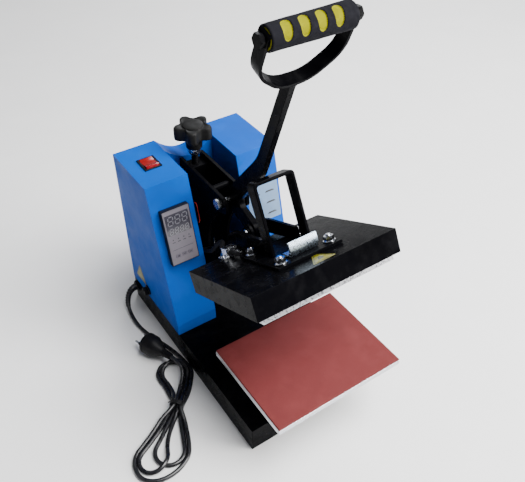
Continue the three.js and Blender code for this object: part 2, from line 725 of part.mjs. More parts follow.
function foamGrip() {
  const half = GRIP.length / 2 - GAP;
  const points = [
    [5.3, -half], [12, -half], [GRIP.radius, -half + 4], [GRIP.radius, half - 4], [12, half], [5.3, half],
    [5.3, -half],
  ];
  const sleeve = new THREE.LatheGeometry(points.map(([r, h]) => new THREE.Vector2(r, h)), ROUND);
  return sleeve.rotateZ(-Math.PI / 2).translate(0, GRIP.y, GRIP.z);
}

// ---------------------------------------------------------------- mains cord
const CORD = { radius: 3.5 };
const CORD_ROUTE = [
  [-120.8, 219, 32], [-128, 218.6, 31.4], [-136.5, 216, 27.5], [-142.5, 211.5, 20], [-146.5, 205, 12],
  [-149.5, 196, 6.2], [-151.5, 184, 4.2], [-152.8, 170, 3.9], [-153.6, 157, 3.9], [-153.4, 145, 3.9],
  [-151.5, 132, 3.9], [-148, 119, 3.9], [-142.5, 107, 3.9], [-136.5, 96, 3.9],
  [-131, 86, 3.9], [-127.4, 78, 3.9], [-125, 70.6, 3.9],
];
const BOOT_SHARE = 0.2; // part of the route that the strain relief covers

function part(curve, from, to, count) {
  const points = [];
  for (let step = 0; step <= count; step += 1) {
    points.push(curve.getPointAt(from + ((to - from) * step) / count).toArray());
  }
  return smooth(points);
}

function cordGland() {
  const wall = -BASE.halfWidth;
  const { y, z } = CORD_EXIT;
  const hex = rodX(y, z, 11, wall - 4, wall - GAP, 6);
  const neck = rodX(y, z, 8, wall - 1, wall + 12);
  return cut(join(hex, neck), rodX(y, z, 4.2, wall - 10, wall + 20, 16));
}

function cordBoot() {
  const curve = smooth(CORD_ROUTE);
  const sleeves = [[0, 0.07, 6.6], [0.06, 0.13, 5.8], [0.12, BOOT_SHARE, 5]];
  const pieces = sleeves.map(([from, to, radius]) => tube(part(curve, from, to, 6), radius, 6, 12));
  return join(...pieces);
}

function powerCord() {
  const curve = smooth(CORD_ROUTE);
  return tube(part(curve, BOOT_SHARE + 0.005, 1, 24), CORD.radius, 16, 8);
}

// The bundled length of cord, folded into a hank: a round fold above the tie and wide loops below it.
const HANK = {
  low: 2, high: 21, foldHigh: 14.4,
  waistX: -177, waistY: -41, halfWaist: 9, turn: Math.atan2(-0.731, -0.682),
};
const HANK_FOLD = [
  [-118.5, 69.5, 3], [-130, 69.5, 4], [-132, 57, 6], [-154, 57, 14], [-168, 46, 14], [-169, 14, 16],
  [-178.8, -29.8], [-165.6, -42], [-144, -22, 20], [-120, 4, 20], [-117.8, 30, 20],
];
const HANK_LOOPS = [
  [-173.5, -13, 2], [-178.8, -29.8], [-188.4, -40], [-240, -66, 30], [-286, -92, 22], [-284, -128, 22],
  [-252, -144, 30], [-210, -138, 26], [-186, -98, 30], [-175.2, -52.2], [-165.6, -42], [-153, -30.5, 2],
];

function cordHank() {
  const { low, high, foldHigh } = HANK;
  return join(plateZ(outline(HANK_FOLD), low, foldHigh, 6), plateZ(outline(HANK_LOOPS), low, high, 6));
}

function cordTie() {
  const { low, high, halfWaist, turn, waistX, waistY } = HANK;
  const inner = halfWaist + GAP;
  const band = 1.5;
  const ring = cut(
    box(-3, 3, -inner - band, inner + band, low - GAP - band, high + GAP + band),
    box(-5, 5, -inner, inner, low - GAP, high + GAP),
  );
  return ring.rotateZ(turn).translate(waistX, waistY, 0);
}

// Round mains plug lying on its side, its tail resting on the hank's fold.
const PLUG = {
  x: -161, y: 97, z: 18.45, length: 61, radius: 18.5,
  turn: Math.atan2(-0.954, 0.3), pitch: THREE.MathUtils.degToRad(6),
};

function mainsPlug() {
  const { length, radius, turn, pitch, x, y, z } = PLUG;
  const profile = [
    [0, 0], [17.3, 0], [radius, 1.6], [radius, 20], [14.5, 29], [9.5, 37], [6.6, 41], [5.2, length], [0, length],
  ];
  const body = new THREE.LatheGeometry(profile.map(([r, h]) => new THREE.Vector2(r, h)), 28);
  body.rotateZ(-Math.PI / 2);
  const pins = [-9.5, 9.5].map((step) => rodX(step, 0, 2.4, -19, 2, 12));
  return join(body, ...pins).rotateY(-pitch).rotateZ(turn).translate(x, y, z);
}

// ---------------------------------------------------------------- assembly
function addBase() {
  add(heatPress, 'base_frame', baseFrame(), 'black');
  add(heatPress, 'base_pan', basePan(), 'black');
  add(heatPress, 'plate_pedestal', pedestal(), 'black');
  add(heatPress, 'lower_plate', lowerPlate(), 'aluminium');
  add(heatPress, 'silicone_pad', siliconePad(), 'silicone');
}

function addTowers() {
  add(heatPress, 'left_tower_cover', leftTower(), 'blue');
  add(heatPress, 'right_tower_cover', towerShell(1), 'blue');
  add(heatPress, 'rear_cover', rearBridge(), 'blue');
}

function addElectrics() {
  add(heatPress, 'controller_case', controllerCase(), 'plastic');
  add(heatPress, 'controller_face', controllerFace(), 'face');
  add(heatPress, 'display_window', displayWindow(), 'glass');
  KEYS.forEach((name, index) => add(heatPress, name, keyCap(index), 'key'));
  add(heatPress, 'switch_housing', switchHousing(), 'plastic');
  const button = add(heatPress, 'switch_rocker', rocker(), 'red');
  button.position.set(-TOWER_MID, SWITCH.y, ROCKER.pivotZ);
  button.rotation.x = -ROCKER.lean;
  add(heatPress, 'fuse_holder', fuseHolder(), 'plastic');
  add(heatPress, 'fuse_cap', fuseCap(), 'plastic');
  add(heatPress, 'relay', relay(), 'plastic');
  add(heatPress, 'terminal_block', terminalBlock(), 'fibre');
}

function addFrame() {
  add(heatPress, 'main_frame', mainFrame(), 'black');
  add(heatPress, 'cross_block', crossBlock(), 'steel');
  add(heatPress, 'front_spacer', frontSpacer(), 'black');
  add(heatPress, 'main_shaft', mainShaft(), 'steel');
  add(heatPress, 'shaft_nut', shaftNut(), 'zinc');
  add(heatPress, 'lift_spring', liftSpring(), 'zinc');
  add(heatPress, 'lever_pin', leverPin(), 'zinc');
  add(heatPress, 'lever_pin_nut', leverPinNut(), 'zinc');
}

function addKnob() {
  add(heatPress, 'adjusting_screw', adjustingScrew(), 'zinc');
  add(heatPress, 'lock_nut', lockNut(), 'zinc');
  add(heatPress, 'star_knob', starKnob(), 'plastic');
}

function addArm() {
  const hinge = new THREE.Group();
  hinge.position.set(0, PIVOT.y, PIVOT.z);
  hinge.rotation.x = -OPEN_ANGLE;
  const arm = new THREE.Group();
  arm.position.set(0, -PIVOT.y, -PIVOT.z);
  hinge.add(arm);
  heatPress.add(hinge);
  for (const [name, side] of SIDES) {
    add(arm, `arm_plate_${name}`, armPlate(side), 'black');
  }
  add(arm, 'toggle_pin', togglePin(), 'zinc');
  add(arm, 'mounting_plate', mountPlate(), 'black');
  for (const [row, y] of [['front', -MOUNT.bolt], ['back', MOUNT.bolt]]) {
    add(arm, `plate_bolt_${row}_left`, mountBolt(-MOUNT.bolt, y), 'zinc');
    add(arm, `plate_bolt_${row}_right`, mountBolt(MOUNT.bolt, y), 'zinc');
  }
  add(arm, 'yoke', yoke(), 'black');
  add(arm, 'lever_rest', leverRest(), 'zinc');
  add(arm, 'platen_cover', platenCover(), 'black');
  add(arm, 'heating_plate', heatingPlate(), 'aluminium');
  add(arm, 'heating_element', heatingElement(), 'steel');
  add(arm, 'insulation', insulation(), 'fibre');
  add(arm, 'cable_clamp', cableClamp(), 'zinc');
  add(arm, 'heater_cable', heaterCable(), 'fibre');
}

function addLever() {
  add(heatPress, 'toggle_link', toggleLink(), 'black');
  add(heatPress, 'lever_bar', leverBar(), 'black');
  add(heatPress, 'link_pin', linkPin(), 'zinc');
  add(heatPress, 'handle_bow', handleBow(), 'black');
  add(heatPress, 'grip_bolt', gripBolt(), 'zinc');
  add(heatPress, 'grip_nut', gripNut(), 'zinc');
  add(heatPress, 'foam_grip', foamGrip(), 'foam');
}

function addCord() {
  add(heatPress, 'cord_gland', cordGland(), 'plastic');
  add(heatPress, 'cord_boot', cordBoot(), 'cord');
  add(heatPress, 'power_cord', powerCord(), 'cord');
  add(heatPress, 'cord_hank', cordHank(), 'cord');
  add(heatPress, 'cord_tie', cordTie(), 'cord');
  add(heatPress, 'mains_plug', mainsPlug(), 'plastic');
}

addBase();
addTowers();
addElectrics();
addFrame();
addKnob();
addArm();
addLever();
addCord();

export default heatPress;
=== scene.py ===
"""Looks of a small clamshell heat press: camera, light, materials and detailed pieces around the CAD frame.

Metres, +X right, +Y back, +Z up. The arm's pieces are laid out closed and then turned open with ON_ARM.
"""

import json
import math

import bmesh
import bpy
import numpy as np
from mathutils import Matrix, Vector, noise

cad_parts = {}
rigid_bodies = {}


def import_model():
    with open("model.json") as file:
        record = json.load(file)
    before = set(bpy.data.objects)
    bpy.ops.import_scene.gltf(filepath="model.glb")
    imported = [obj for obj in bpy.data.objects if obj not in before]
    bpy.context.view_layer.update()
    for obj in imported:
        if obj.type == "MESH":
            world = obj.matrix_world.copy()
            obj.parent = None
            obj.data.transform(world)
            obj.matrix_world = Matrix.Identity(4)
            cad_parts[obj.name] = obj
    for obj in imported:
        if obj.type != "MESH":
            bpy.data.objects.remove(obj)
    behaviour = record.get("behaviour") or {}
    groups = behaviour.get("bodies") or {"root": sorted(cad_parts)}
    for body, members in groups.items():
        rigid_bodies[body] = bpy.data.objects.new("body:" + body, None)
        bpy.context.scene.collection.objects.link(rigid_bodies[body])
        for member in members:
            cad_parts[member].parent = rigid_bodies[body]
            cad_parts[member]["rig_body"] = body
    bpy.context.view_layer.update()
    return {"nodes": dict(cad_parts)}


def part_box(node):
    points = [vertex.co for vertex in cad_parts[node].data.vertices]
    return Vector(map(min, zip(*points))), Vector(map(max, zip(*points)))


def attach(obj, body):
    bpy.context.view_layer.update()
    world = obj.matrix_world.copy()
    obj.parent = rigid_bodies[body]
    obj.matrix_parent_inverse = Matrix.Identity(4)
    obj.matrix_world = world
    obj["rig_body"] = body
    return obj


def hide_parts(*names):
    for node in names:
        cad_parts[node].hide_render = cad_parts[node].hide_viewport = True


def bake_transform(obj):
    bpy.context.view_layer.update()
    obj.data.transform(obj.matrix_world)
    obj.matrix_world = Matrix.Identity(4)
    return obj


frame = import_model()
NODES = frame["nodes"]

MM = 0.001
PIVOT = Vector((0, 134.4, 118.7)) * MM  # main hinge
OPEN_ANGLE = math.radians(27.9)
LEVER_PIVOT = Vector((0, 60, 288)) * MM
TOWER_MID = 80.2 * MM
TOWER_TOP = 318.2 * MM
TOWER_OUTER = 116.6 * MM
TOWER_BACK = 229 * MM
TOWER_FRONT = 116.5 * MM  # at the tower's top edge, where its front starts to slope
FRONT_TILT = math.atan2(248.2, 61)
SWITCH_Y = 173 * MM
KNOB_Y = 172
HANDLE_TILT = math.atan2(77.7, -31.6)
BOW_FOOT = Vector((0, -80.7, 544.7)) * MM
GRIP = Vector((0, -112.3, 622.4)) * MM
PLATEN_TOP = 167.1 * MM
MOUNT_TOP = 171.9 * MM
MOUNT_Y = -151 * MM
STUD_REACH = 40  # a stud's distance from the mounting plate's middle, each way


def at(x, y, z):
    """A point given in millimetres."""
    return Vector((x, y, z)) * MM


def place(x, y, z):
    return Matrix.Translation(at(x, y, z))


def turned(angle, axis):
    return Matrix.Rotation(angle, 4, axis)


def circle(radius, height, steps):
    """Points round Z, in millimetres."""
    turns = [2 * math.pi * i / steps for i in range(steps)]
    return [at(radius * math.cos(t), radius * math.sin(t), height) for t in turns]


def linked(name, data):
    """A new object in the scene."""
    made = bpy.data.objects.new(name, data)
    bpy.context.scene.collection.objects.link(made)
    return made


ON_ARM = Matrix.Translation(PIVOT) @ turned(-OPEN_ANGLE, "X") @ Matrix.Translation(-PIVOT)
ON_FRONT = Matrix.Translation((-TOWER_MID, TOWER_FRONT, TOWER_TOP)) @ turned(FRONT_TILT, "X")
TO_X = turned(math.pi / 2, "Y")  # a piece made along Z, laid along X


# ---------------------------------------------------------------- camera, light and floor
def add_camera():
    data = bpy.data.cameras.new("camera")
    data.sensor_width = 36
    data.lens = 44.9
    data.clip_start = 0.01
    camera = linked("camera", data)
    camera.location = (-0.4073, -0.6313, 0.9020)
    forward = Vector((0.4196, 0.6245, -0.6587))
    camera.rotation_euler = forward.to_track_quat("-Z", "Y").to_euler()
    bpy.context.scene.camera = camera


def add_light(name, place_at, target, size, watts, color=(1, 1, 1)):
    data = bpy.data.lights.new(name, "AREA")
    data.shape = "RECTANGLE"
    data.size, data.size_y = size
    data.energy = watts
    data.color = color
    light = linked(name, data)
    light.location = place_at
    light.rotation_euler = (Vector(target) - Vector(place_at)).to_track_quat("-Z", "Y").to_euler()


def add_world(strength):
    world = bpy.data.worlds.new("studio")
    bpy.context.scene.world = world
    world.use_nodes = True
    background = world.node_tree.nodes["Background"]
    background.inputs["Color"].default_value = (0.93, 0.95, 1.0, 1)
    background.inputs["Strength"].default_value = strength


# ---------------------------------------------------------------- materials
class Shader:
    """A material's node tree around one Principled shader, in the object's own coordinates."""

    def __init__(self, name, color, roughness, metallic=0.0):
        self.material = bpy.data.materials.new(name)
        self.material.use_nodes = True
        self.tree = self.material.node_tree
        self.principled = self.tree.nodes["Principled BSDF"]
        self.set("Base Color", (*color, 1))
        self.set("Roughness", roughness)
        self.set("Metallic", metallic)
        self.color = color
        self.roughness = roughness
        self.coordinates = self.tree.nodes.new("ShaderNodeTexCoord").outputs["Object"]
        self.normal = None

    def set(self, name, value):
        self.principled.inputs[name].default_value = value

    def link(self, source, target):
        self.tree.links.new(source, target)

    def node(self, kind, **settings):
        node = self.tree.nodes.new(kind)
        for name, value in settings.items():
            setattr(node, name, value)
        return node

    def stretched(self, scale):
        mapping = self.node("ShaderNodeMapping")
        mapping.inputs["Scale"].default_value = scale
        self.link(self.coordinates, mapping.inputs["Vector"])
        return mapping.outputs["Vector"]

    def noise(self, scale, detail=3.0, stretch=None, rough=0.55):
        texture = self.node("ShaderNodeTexNoise")
        texture.inputs["Scale"].default_value = scale
        texture.inputs["Detail"].default_value = detail
        texture.inputs["Roughness"].default_value = rough
        self.link(self.stretched(stretch) if stretch else self.coordinates, texture.inputs["Vector"])
        return texture.outputs["Fac"]

    def cells(self, scale, feature="F1"):
        texture = self.node("ShaderNodeTexVoronoi", feature=feature)
        texture.inputs["Scale"].default_value = scale
        self.link(self.coordinates, texture.inputs["Vector"])
        return texture.outputs["Distance"]

    def ramp(self, value, low, high, at_low=0.0, at_high=1.0):
        node = self.node("ShaderNodeMapRange", clamp=True)
        numbers = {"From Min": low, "From Max": high, "To Min": at_low, "To Max": at_high}
        for name, number in numbers.items():
            node.inputs[name].default_value = number
        self.link(value, node.inputs["Value"])
        return node.outputs["Result"]

    def tint(self, value, color):
        """Mixes a second colour over the first where value is 1."""
        node = self.node("ShaderNodeMix", data_type="RGBA")
        base = self.principled.inputs["Base Color"]
        if base.links:
            self.link(base.links[0].from_socket, node.inputs["A"])
        else:
            node.inputs["A"].default_value = base.default_value
        node.inputs["B"].default_value = (*color, 1)
        self.link(value, node.inputs["Factor"])
        self.link(node.outputs["Result"], base)
        return self

    def mottle(self, scale, amount, stretch=None):
        """Lighter and darker patches of the colour."""
        darker = tuple(c * (1 - amount) for c in self.color)
        lighter = tuple(min(1, c * (1 + amount) + 0.002) for c in self.color)
        self.tint(self.ramp(self.noise(scale, stretch=stretch), 0.35, 0.5, 1, 0), darker)
        return self.tint(self.ramp(self.noise(scale * 2.3, stretch=stretch), 0.52, 0.7, 0, 1), lighter)

    def polish(self, scale, spread, stretch=None):
        """Roughness that varies about its value."""
        low, high = self.roughness * (1 - spread), self.roughness * (1 + spread)
        value = self.ramp(self.noise(scale, stretch=stretch), 0.3, 0.7, low, high)
        self.link(value, self.principled.inputs["Roughness"])
        return self

    def relief(self, value, height, strength=1.0):
        """Bump of that height in metres."""
        bump = self.node("ShaderNodeBump")
        bump.inputs["Distance"].default_value = height
        bump.inputs["Strength"].default_value = strength
        self.link(value, bump.inputs["Height"])
        if self.normal is not None:
            self.link(self.normal, bump.inputs["Normal"])
        self.normal = bump.outputs["Normal"]
        self.link(self.normal, self.principled.inputs["Normal"])
        return self

    def coat(self, weight, roughness):
        self.set("Coat Weight", weight)
        self.set("Coat Roughness", roughness)
        return self

    def dust(self, color, amount, scale=35.0):
        """Pale dust that settles on faces that look up."""
        parts = self.node("ShaderNodeSeparateXYZ")
        self.link(self.node("ShaderNodeNewGeometry").outputs["Normal"], parts.inputs["Vector"])
        product = self.node("ShaderNodeMath", operation="MULTIPLY")
        self.link(self.ramp(parts.outputs["Z"], 0.5, 1.0, 0, amount), product.inputs[0])
        self.link(self.ramp(self.noise(scale, 8.0, rough=0.7), 0.4, 0.75), product.inputs[1])
        return self.tint(product.outputs["Value"], color)


def black_enamel():
    m = Shader("black_enamel", (0.0016, 0.0016, 0.0022), 0.25).mottle(14, 0.3).polish(60, 0.4)
    m.relief(m.noise(420, 2.0), 0.00012, 0.35).relief(m.noise(35, 1.0), 0.0006, 0.12)
    m.dust((0.06, 0.06, 0.065), 0.03)
    m.set("Specular IOR Level", 0.02)
    return m.material


def blue_powder():
    m = Shader("blue_powder_coat", (0.0, 0.066, 0.36), 0.38).mottle(9, 0.07).polish(30, 0.25)
    m.relief(m.noise(900, 2.0), 0.00006, 0.5).relief(m.noise(24, 1.0), 0.0008, 0.08)
    m.dust((0.08, 0.16, 0.34), 0.04)
    m.set("Specular IOR Level", 0.02)
    return m.material


def milled_aluminium():
    m = Shader("milled_aluminium", (0.60, 0.60, 0.63), 0.3, 1.0)
    m.mottle(40, 0.04).polish(300, 0.3, (1, 0.04, 1))
    m.relief(m.noise(900, 2.0, (1, 0.03, 1)), 0.00004, 0.3)
    return m.material


def silicone_rubber():
    m = Shader("red_silicone", (0.115, 0.021, 0.021), 0.62).mottle(12, 0.10).polish(50, 0.15)
    m.tint(m.ramp(m.noise(3200, 2.0), 0.62, 0.78, 0, 0.35), (0.42, 0.20, 0.17))
    m.relief(m.cells(900), 0.00008, 0.5).relief(m.noise(18, 2.0), 0.0012, 0.15)
    m.set("Specular IOR Level", 0.1)
    return m.material


def moulded_plastic(name, color, roughness, grain=1400):
    m = Shader(name, color, roughness).mottle(25, 0.15).polish(90, 0.25)
    m.set("Specular IOR Level", 0.12)
    return m.relief(m.cells(grain), 0.00006, 0.6).material


def panel_silver():
    m = Shader("controller_panel", (0.14, 0.13, 0.155), 0.42, 0.15)
    m.mottle(60, 0.05).polish(500, 0.3, (0.05, 1, 1))
    return m.relief(m.noise(2500, 2.0), 0.00002, 0.4).material


def smoked_window():
    m = Shader("smoked_window", (0.035, 0.033, 0.045), 0.16).mottle(30, 0.1).polish(80, 0.3)
    return m.relief(m.noise(60, 1.0), 0.0001, 0.1).coat(0.4, 0.05).material


def red_rocker():
    m = Shader("red_rocker", (0.22, 0.001, 0.001), 0.22).mottle(60, 0.12).polish(120, 0.3)
    m.set("Subsurface Weight", 0.25)
    m.set("Subsurface Radius", (0.004, 0.0008, 0.0006))
    m.set("Subsurface Scale", 0.6)
    return m.relief(m.noise(200, 1.0), 0.00008, 0.2).coat(0.5, 0.05).material


def plated(name, color, roughness, stain=(0.45, 0.42, 0.30)):
    m = Shader(name, color, roughness, 1.0).mottle(180, 0.12).polish(400, 0.45)
    m.tint(m.ramp(m.noise(90, 5.0), 0.55, 0.75, 0, 0.35), stain)
    return m.relief(m.noise(1500, 3.0), 0.00003, 0.5).material


def turned_steel():
    m = Shader("turned_steel", (0.52, 0.52, 0.53), 0.28, 1.0)
    m.mottle(120, 0.1).polish(900, 0.3, (1, 0.08, 0.08))
    return m.relief(m.noise(2600, 2.0, (1, 0.05, 0.05)), 0.00003, 0.6).material


def ceramic_fibre():
    m = Shader("ceramic_fibre", (0.78, 0.76, 0.70), 0.95).mottle(150, 0.12)
    return m.relief(m.noise(1200, 6.0, rough=0.75), 0.0004, 0.8).material


def closed_cell_foam(name, color):
    m = Shader(name, color, 0.9).mottle(60, 0.1).polish(200, 0.1)
    # Painted shade: the low centres of the foam's cells, which are the pits of the bump below, are darkened
    # towards half the colour.
    m.tint(m.ramp(m.cells(1500), 0.0, 0.28, 0.4, 0), tuple(c * 0.5 for c in color))
    m.set("Specular IOR Level", 0.05)
    return m.relief(m.cells(1500), 0.0003, 0.55).relief(m.noise(260, 3.0), 0.0003, 0.3).material


def cord_rubber():
    m = Shader("black_cord_sheath", (0.005, 0.005, 0.007), 0.34).mottle(40, 0.3).polish(120, 0.4)
    m.tint(m.ramp(m.noise(70, 6.0), 0.6, 0.8, 0, 0.1), (0.06, 0.06, 0.08))
    return m.relief(m.noise(700, 2.0), 0.00008, 0.4).coat(0.15, 0.2).material


def braided_sleeve():
    m = Shader("braided_sleeve", (0.007, 0.007, 0.008), 0.6).mottle(200, 0.3)
    m.tint(m.ramp(m.cells(900, "DISTANCE_TO_EDGE"), 0.0, 0.12, 0.6, 0), (0.006, 0.006, 0.007))
    m.set("Specular IOR Level", 0.1)
    return m.relief(m.cells(900), 0.0004, 0.9).material


def printed_label(name, color):
    m = Shader(name, color, 0.4).mottle(50, 0.05).polish(150, 0.2)
    m.tint(m.ramp(m.noise(220, 6.0), 0.66, 0.8, 0, 0.25), tuple(c * 0.6 for c in color))
    return m.relief(m.noise(500, 2.0), 0.00003, 0.4).material


def studio_floor():
    m = Shader("pale_floor", (0.86, 0.86, 0.86), 0.6).mottle(3, 0.015).polish(8, 0.1)
    return m.relief(m.noise(120, 3.0), 0.0002, 0.15).material


LOOKS = {
    "black_metal": black_enamel(),
    "blue_metal": blue_powder(),
    "aluminium": milled_aluminium(),
    "silicone": silicone_rubber(),
    "black_plastic": moulded_plastic("black_moulding", (0.006, 0.006, 0.007), 0.4),
    "knob_plastic": moulded_plastic("knob_moulding", (0.006, 0.006, 0.006), 0.5, 1000),
    "controller_face": panel_silver(),
    "display": smoked_window(),
    "key": moulded_plastic("key_rubber", (0.12, 0.11, 0.135), 0.5, 2200),
    "red_plastic": red_rocker(),
    "terminal": moulded_plastic("terminal_moulding", (0.62, 0.60, 0.53), 0.5),
    "machined_steel": turned_steel(),
    "zinc": plated("zinc_plate", (0.62, 0.64, 0.67), 0.24),
    # Painted reflection: the lever rest's zinc is a darker, bluer copy of the plain zinc, with the blue
    # tower's reflection painted into its colour.
    "lever_rest_zinc_painted_reflection": plated("lever_rest_zinc_painted_reflection", (0.42, 0.50, 0.58), 0.28, (0.40, 0.46, 0.52)),
    "chrome": plated("bright_plate", (0.74, 0.76, 0.80), 0.13, (0.55, 0.55, 0.55)),
    "insulation": ceramic_fibre(),
    "cable_sleeve": braided_sleeve(),
    "foam": closed_cell_foam("charcoal_foam", (0.008, 0.008, 0.0105)),
    "cord": cord_rubber(),
    "cord_tie": moulded_plastic("tie_strip", (0.012, 0.012, 0.013), 0.35),
    "plug": moulded_plastic("plug_moulding", (0.005, 0.005, 0.006), 0.44),
}
SLOT_OF_LOOK = {"lever_rest_zinc_painted_reflection": "zinc"}  # a look that isn't named after its material slot
FOAM_YELLOW = closed_cell_foam("yellow_foam", (0.19, 0.185, 0.0))
MARK_WHITE = printed_label("white_mark", (0.80, 0.80, 0.80))
PALE_BLUE = printed_label("pale_label", (0.10, 0.18, 0.30))
MARK_BLACK = printed_label("black_mark", (0.014, 0.014, 0.016))
SEGMENT_GREY = printed_label("segment_grey", (0.13, 0.13, 0.15))
LABEL_YELLOW = printed_label("yellow_label", (0.15, 0.14, 0.0))
WIRE_RED = moulded_plastic("red_wire", (0.22, 0.012, 0.008), 0.4)


# ---------------------------------------------------------------- mesh helpers
def finish_piece(name, mesh, looks, body, matrix=None, sharp=35):
    """A shaded object from a mesh, put in place and riding on a body."""
    if matrix is not None:
        mesh.transform(matrix)
    for look in looks if isinstance(looks, list) else [looks]:
        mesh.materials.append(look)
    for polygon in mesh.polygons:
        polygon.use_smooth = True
    mesh.set_sharp_from_angle(angle=math.radians(sharp))
    piece = linked(name, mesh)
    if body:
        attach(piece, body)
    return piece


def stand_for(piece, slot, *nodes):
    if nodes:
        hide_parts(*nodes)
    return piece


def part(name, mesh, slot, body, matrix, sharp, *nodes, look=None):
    """A piece in its slot's own look, or another, standing for CAD nodes where they are given."""
    return stand_for(finish_piece(name, mesh, look or LOOKS[slot], body, matrix, sharp), slot, *nodes)


def mesh_of(bm, name):
    bmesh.ops.recalc_face_normals(bm, faces=bm.faces)
    mesh = bpy.data.meshes.new(name)
    bm.to_mesh(mesh)
    bm.free()
    return mesh


def ring_mesh(name, rings, loop_rings=False):
    """Rings of equally many points, skinned into a tube. Each ring is a closed loop."""
    bm = bmesh.new()
    made = [[bm.verts.new(point) for point in ring] for ring in rings]
    count = len(made[0])
    pairs = list(zip(made, made[1:]))
    if loop_rings:
        pairs.append((made[-1], made[0]))
    for a, b in pairs:
        for i in range(count):
            j = (i + 1) % count
            bm.faces.new((a[i], a[j], b[j], b[i]))
    if not loop_rings:
        bm.faces.new(list(reversed(made[0])))
        bm.faces.new(made[-1])
    return mesh_of(bm, name)


def lathe(name, profile, steps=48):
    """A closed turned solid about Z from (radius, height) pairs in millimetres, on the axis at its ends."""
    bm = bmesh.new()
    rings = []
    for radius, height in profile:
        if radius < 1e-6:
            rings.append([bm.verts.new((0, 0, height * MM))])
            continue
        rings.append([bm.verts.new(point) for point in circle(radius, height, steps)])
    for a, b in zip(rings, rings[1:]):
        for i in range(steps):
            j = (i + 1) % steps
            corners = [a[i % len(a)], a[j % len(a)], b[j % len(b)], b[i % len(b)]]
            corners = [v for k, v in enumerate(corners) if v not in corners[:k]]
            if len(corners) > 2:
                bm.faces.new(corners)
    return mesh_of(bm, name)


def join_meshes(name, meshes, looks=None):
    """One mesh of several closed ones. looks gives the material number of each."""
    bm = bmesh.new()
    for mesh, look in zip(meshes, looks or [0] * len(meshes)):
        for polygon in mesh.polygons:
            polygon.material_index = look
        bm.from_mesh(mesh)
        bpy.data.meshes.remove(mesh)
    return mesh_of(bm, name)


def moved(mesh, matrix):
    mesh.transform(matrix)
    return mesh


def sweep(name, points, radii, sides=12):
    """A round tube along points, with a radius at each and rounded-off ends."""
    points = [Vector(p) for p in points]
    count = len(points)
    tangents = [(points[min(i + 1, count - 1)] - points[max(i - 1, 0)]).normalized() for i in range(count)]
    side = tangents[0].orthogonal().normalized()
    rings = []
    for point, tangent, radius in zip(points, tangents, radii):
        side = (side - tangent * side.dot(tangent)).normalized()
        other = tangent.cross(side)
        turn = [2 * math.pi * i / sides for i in range(sides)]
        rings.append([point + (side * math.cos(t) + other * math.sin(t)) * radius for t in turn])
    return ring_mesh(name, rings)


def spline(points, step):
    """Points every step along a centripetal Catmull-Rom curve."""
    points = [Vector(p) for p in points]
    ends = [points[0] * 2 - points[1]] + points + [points[-1] * 2 - points[-2]]
    fine = []
    for a, b, c, d in zip(ends, ends[1:], ends[2:], ends[3:]):
        t0 = 0.0
        t1 = t0 + math.sqrt((b - a).length)
        t2 = t1 + math.sqrt((c - b).length)
        t3 = t2 + math.sqrt((d - c).length)
        for k in range(24):
            t = t1 + (t2 - t1) * k / 24
            a1 = a * ((t1 - t) / (t1 - t0)) + b * ((t - t0) / (t1 - t0))
            a2 = b * ((t2 - t) / (t2 - t1)) + c * ((t - t1) / (t2 - t1))
            a3 = c * ((t3 - t) / (t3 - t2)) + d * ((t - t2) / (t3 - t2))
            b1 = a1 * ((t2 - t) / (t2 - t0)) + a2 * ((t - t0) / (t2 - t0))
            b2 = a2 * ((t3 - t) / (t3 - t1)) + a3 * ((t - t1) / (t3 - t1))
            fine.append(b1 * ((t2 - t) / (t2 - t1)) + b2 * ((t - t1) / (t2 - t1)))
    fine.append(points[-1])
    lengths = np.cumsum([0] + [(q - p).length for p, q in zip(fine, fine[1:])])
    count = max(2, round(lengths[-1] / step))
    wanted = np.linspace(0, lengths[-1], count + 1)
    table = np.array(fine)
    return np.stack([np.interp(wanted, lengths, table[:, k]) for k in range(3)], 1)


def bevelled(piece, width, angle):
    modifier = piece.modifiers.new("edges", "BEVEL")
    modifier.width = width
    modifier.segments = 2
    modifier.limit_method = "ANGLE"
    modifier.angle_limit = math.radians(angle)
    modifier.use_clamp_overlap = True
    weighted = piece.modifiers.new("normals", "WEIGHTED_NORMAL")
    weighted.keep_sharp = True


def prism(name, outline, low, high, edge=0.0):
    """A plate with an outline in x and y and a height range in z, in millimetres."""
    bm = bmesh.new()
    base = bm.faces.new([bm.verts.new(at(x, y, low)) for x, y in outline])
    raised = bmesh.ops.extrude_face_region(bm, geom=[base])["geom"]
    corners = [v for v in raised if isinstance(v, bmesh.types.BMVert)]
    bmesh.ops.translate(bm, verts=corners, vec=at(0, 0, high - low))
    if edge:
        bmesh.ops.bevel(bm, geom=bm.edges, offset=edge * MM, segments=2, profile=0.5, affect="EDGES")
    return mesh_of(bm, name)


def refined(node, look, width, sharp=35):
    """The CAD node's own shape with its edges rounded, standing for it."""
    source = NODES[node]
    bm = bmesh.new()
    bm.from_mesh(source.data)
    bmesh.ops.remove_doubles(bm, verts=bm.verts, dist=1e-6)
    bmesh.ops.dissolve_limit(bm, angle_limit=math.radians(0.8), verts=bm.verts, edges=bm.edges)
    mesh = mesh_of(bm, node)
    piece = finish_piece(f"{node}_finish", mesh, LOOKS[look], source["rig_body"], None, sharp)
    bevelled(piece, width, sharp)
    return stand_for(piece, SLOT_OF_LOOK.get(look, look), node)


# ---------------------------------------------------------------- threads, nuts and screws
def thread(radius, low, high, pitch, depth=None, sides=20):
    """A threaded rod about Z, in millimetres."""
    depth = depth or pitch * 0.5
    steps = max(6, round((high - low) / pitch * 5))
    rings = []
    for k in range(steps + 1):
        z = low + (high - low) * k / steps
        end = min(1.0, min(z - low, high - z) / pitch + 0.35)
        ring = []
        for i in range(sides):
            phase = (z / pitch - i / sides) % 1.0
            r = radius - depth * (abs(2 * phase - 1) + (1 - end))
            turn = 2 * math.pi * i / sides
            ring.append(at(r * math.cos(turn), r * math.sin(turn), z))
        rings.append(ring)
    return ring_mesh("thread", rings)


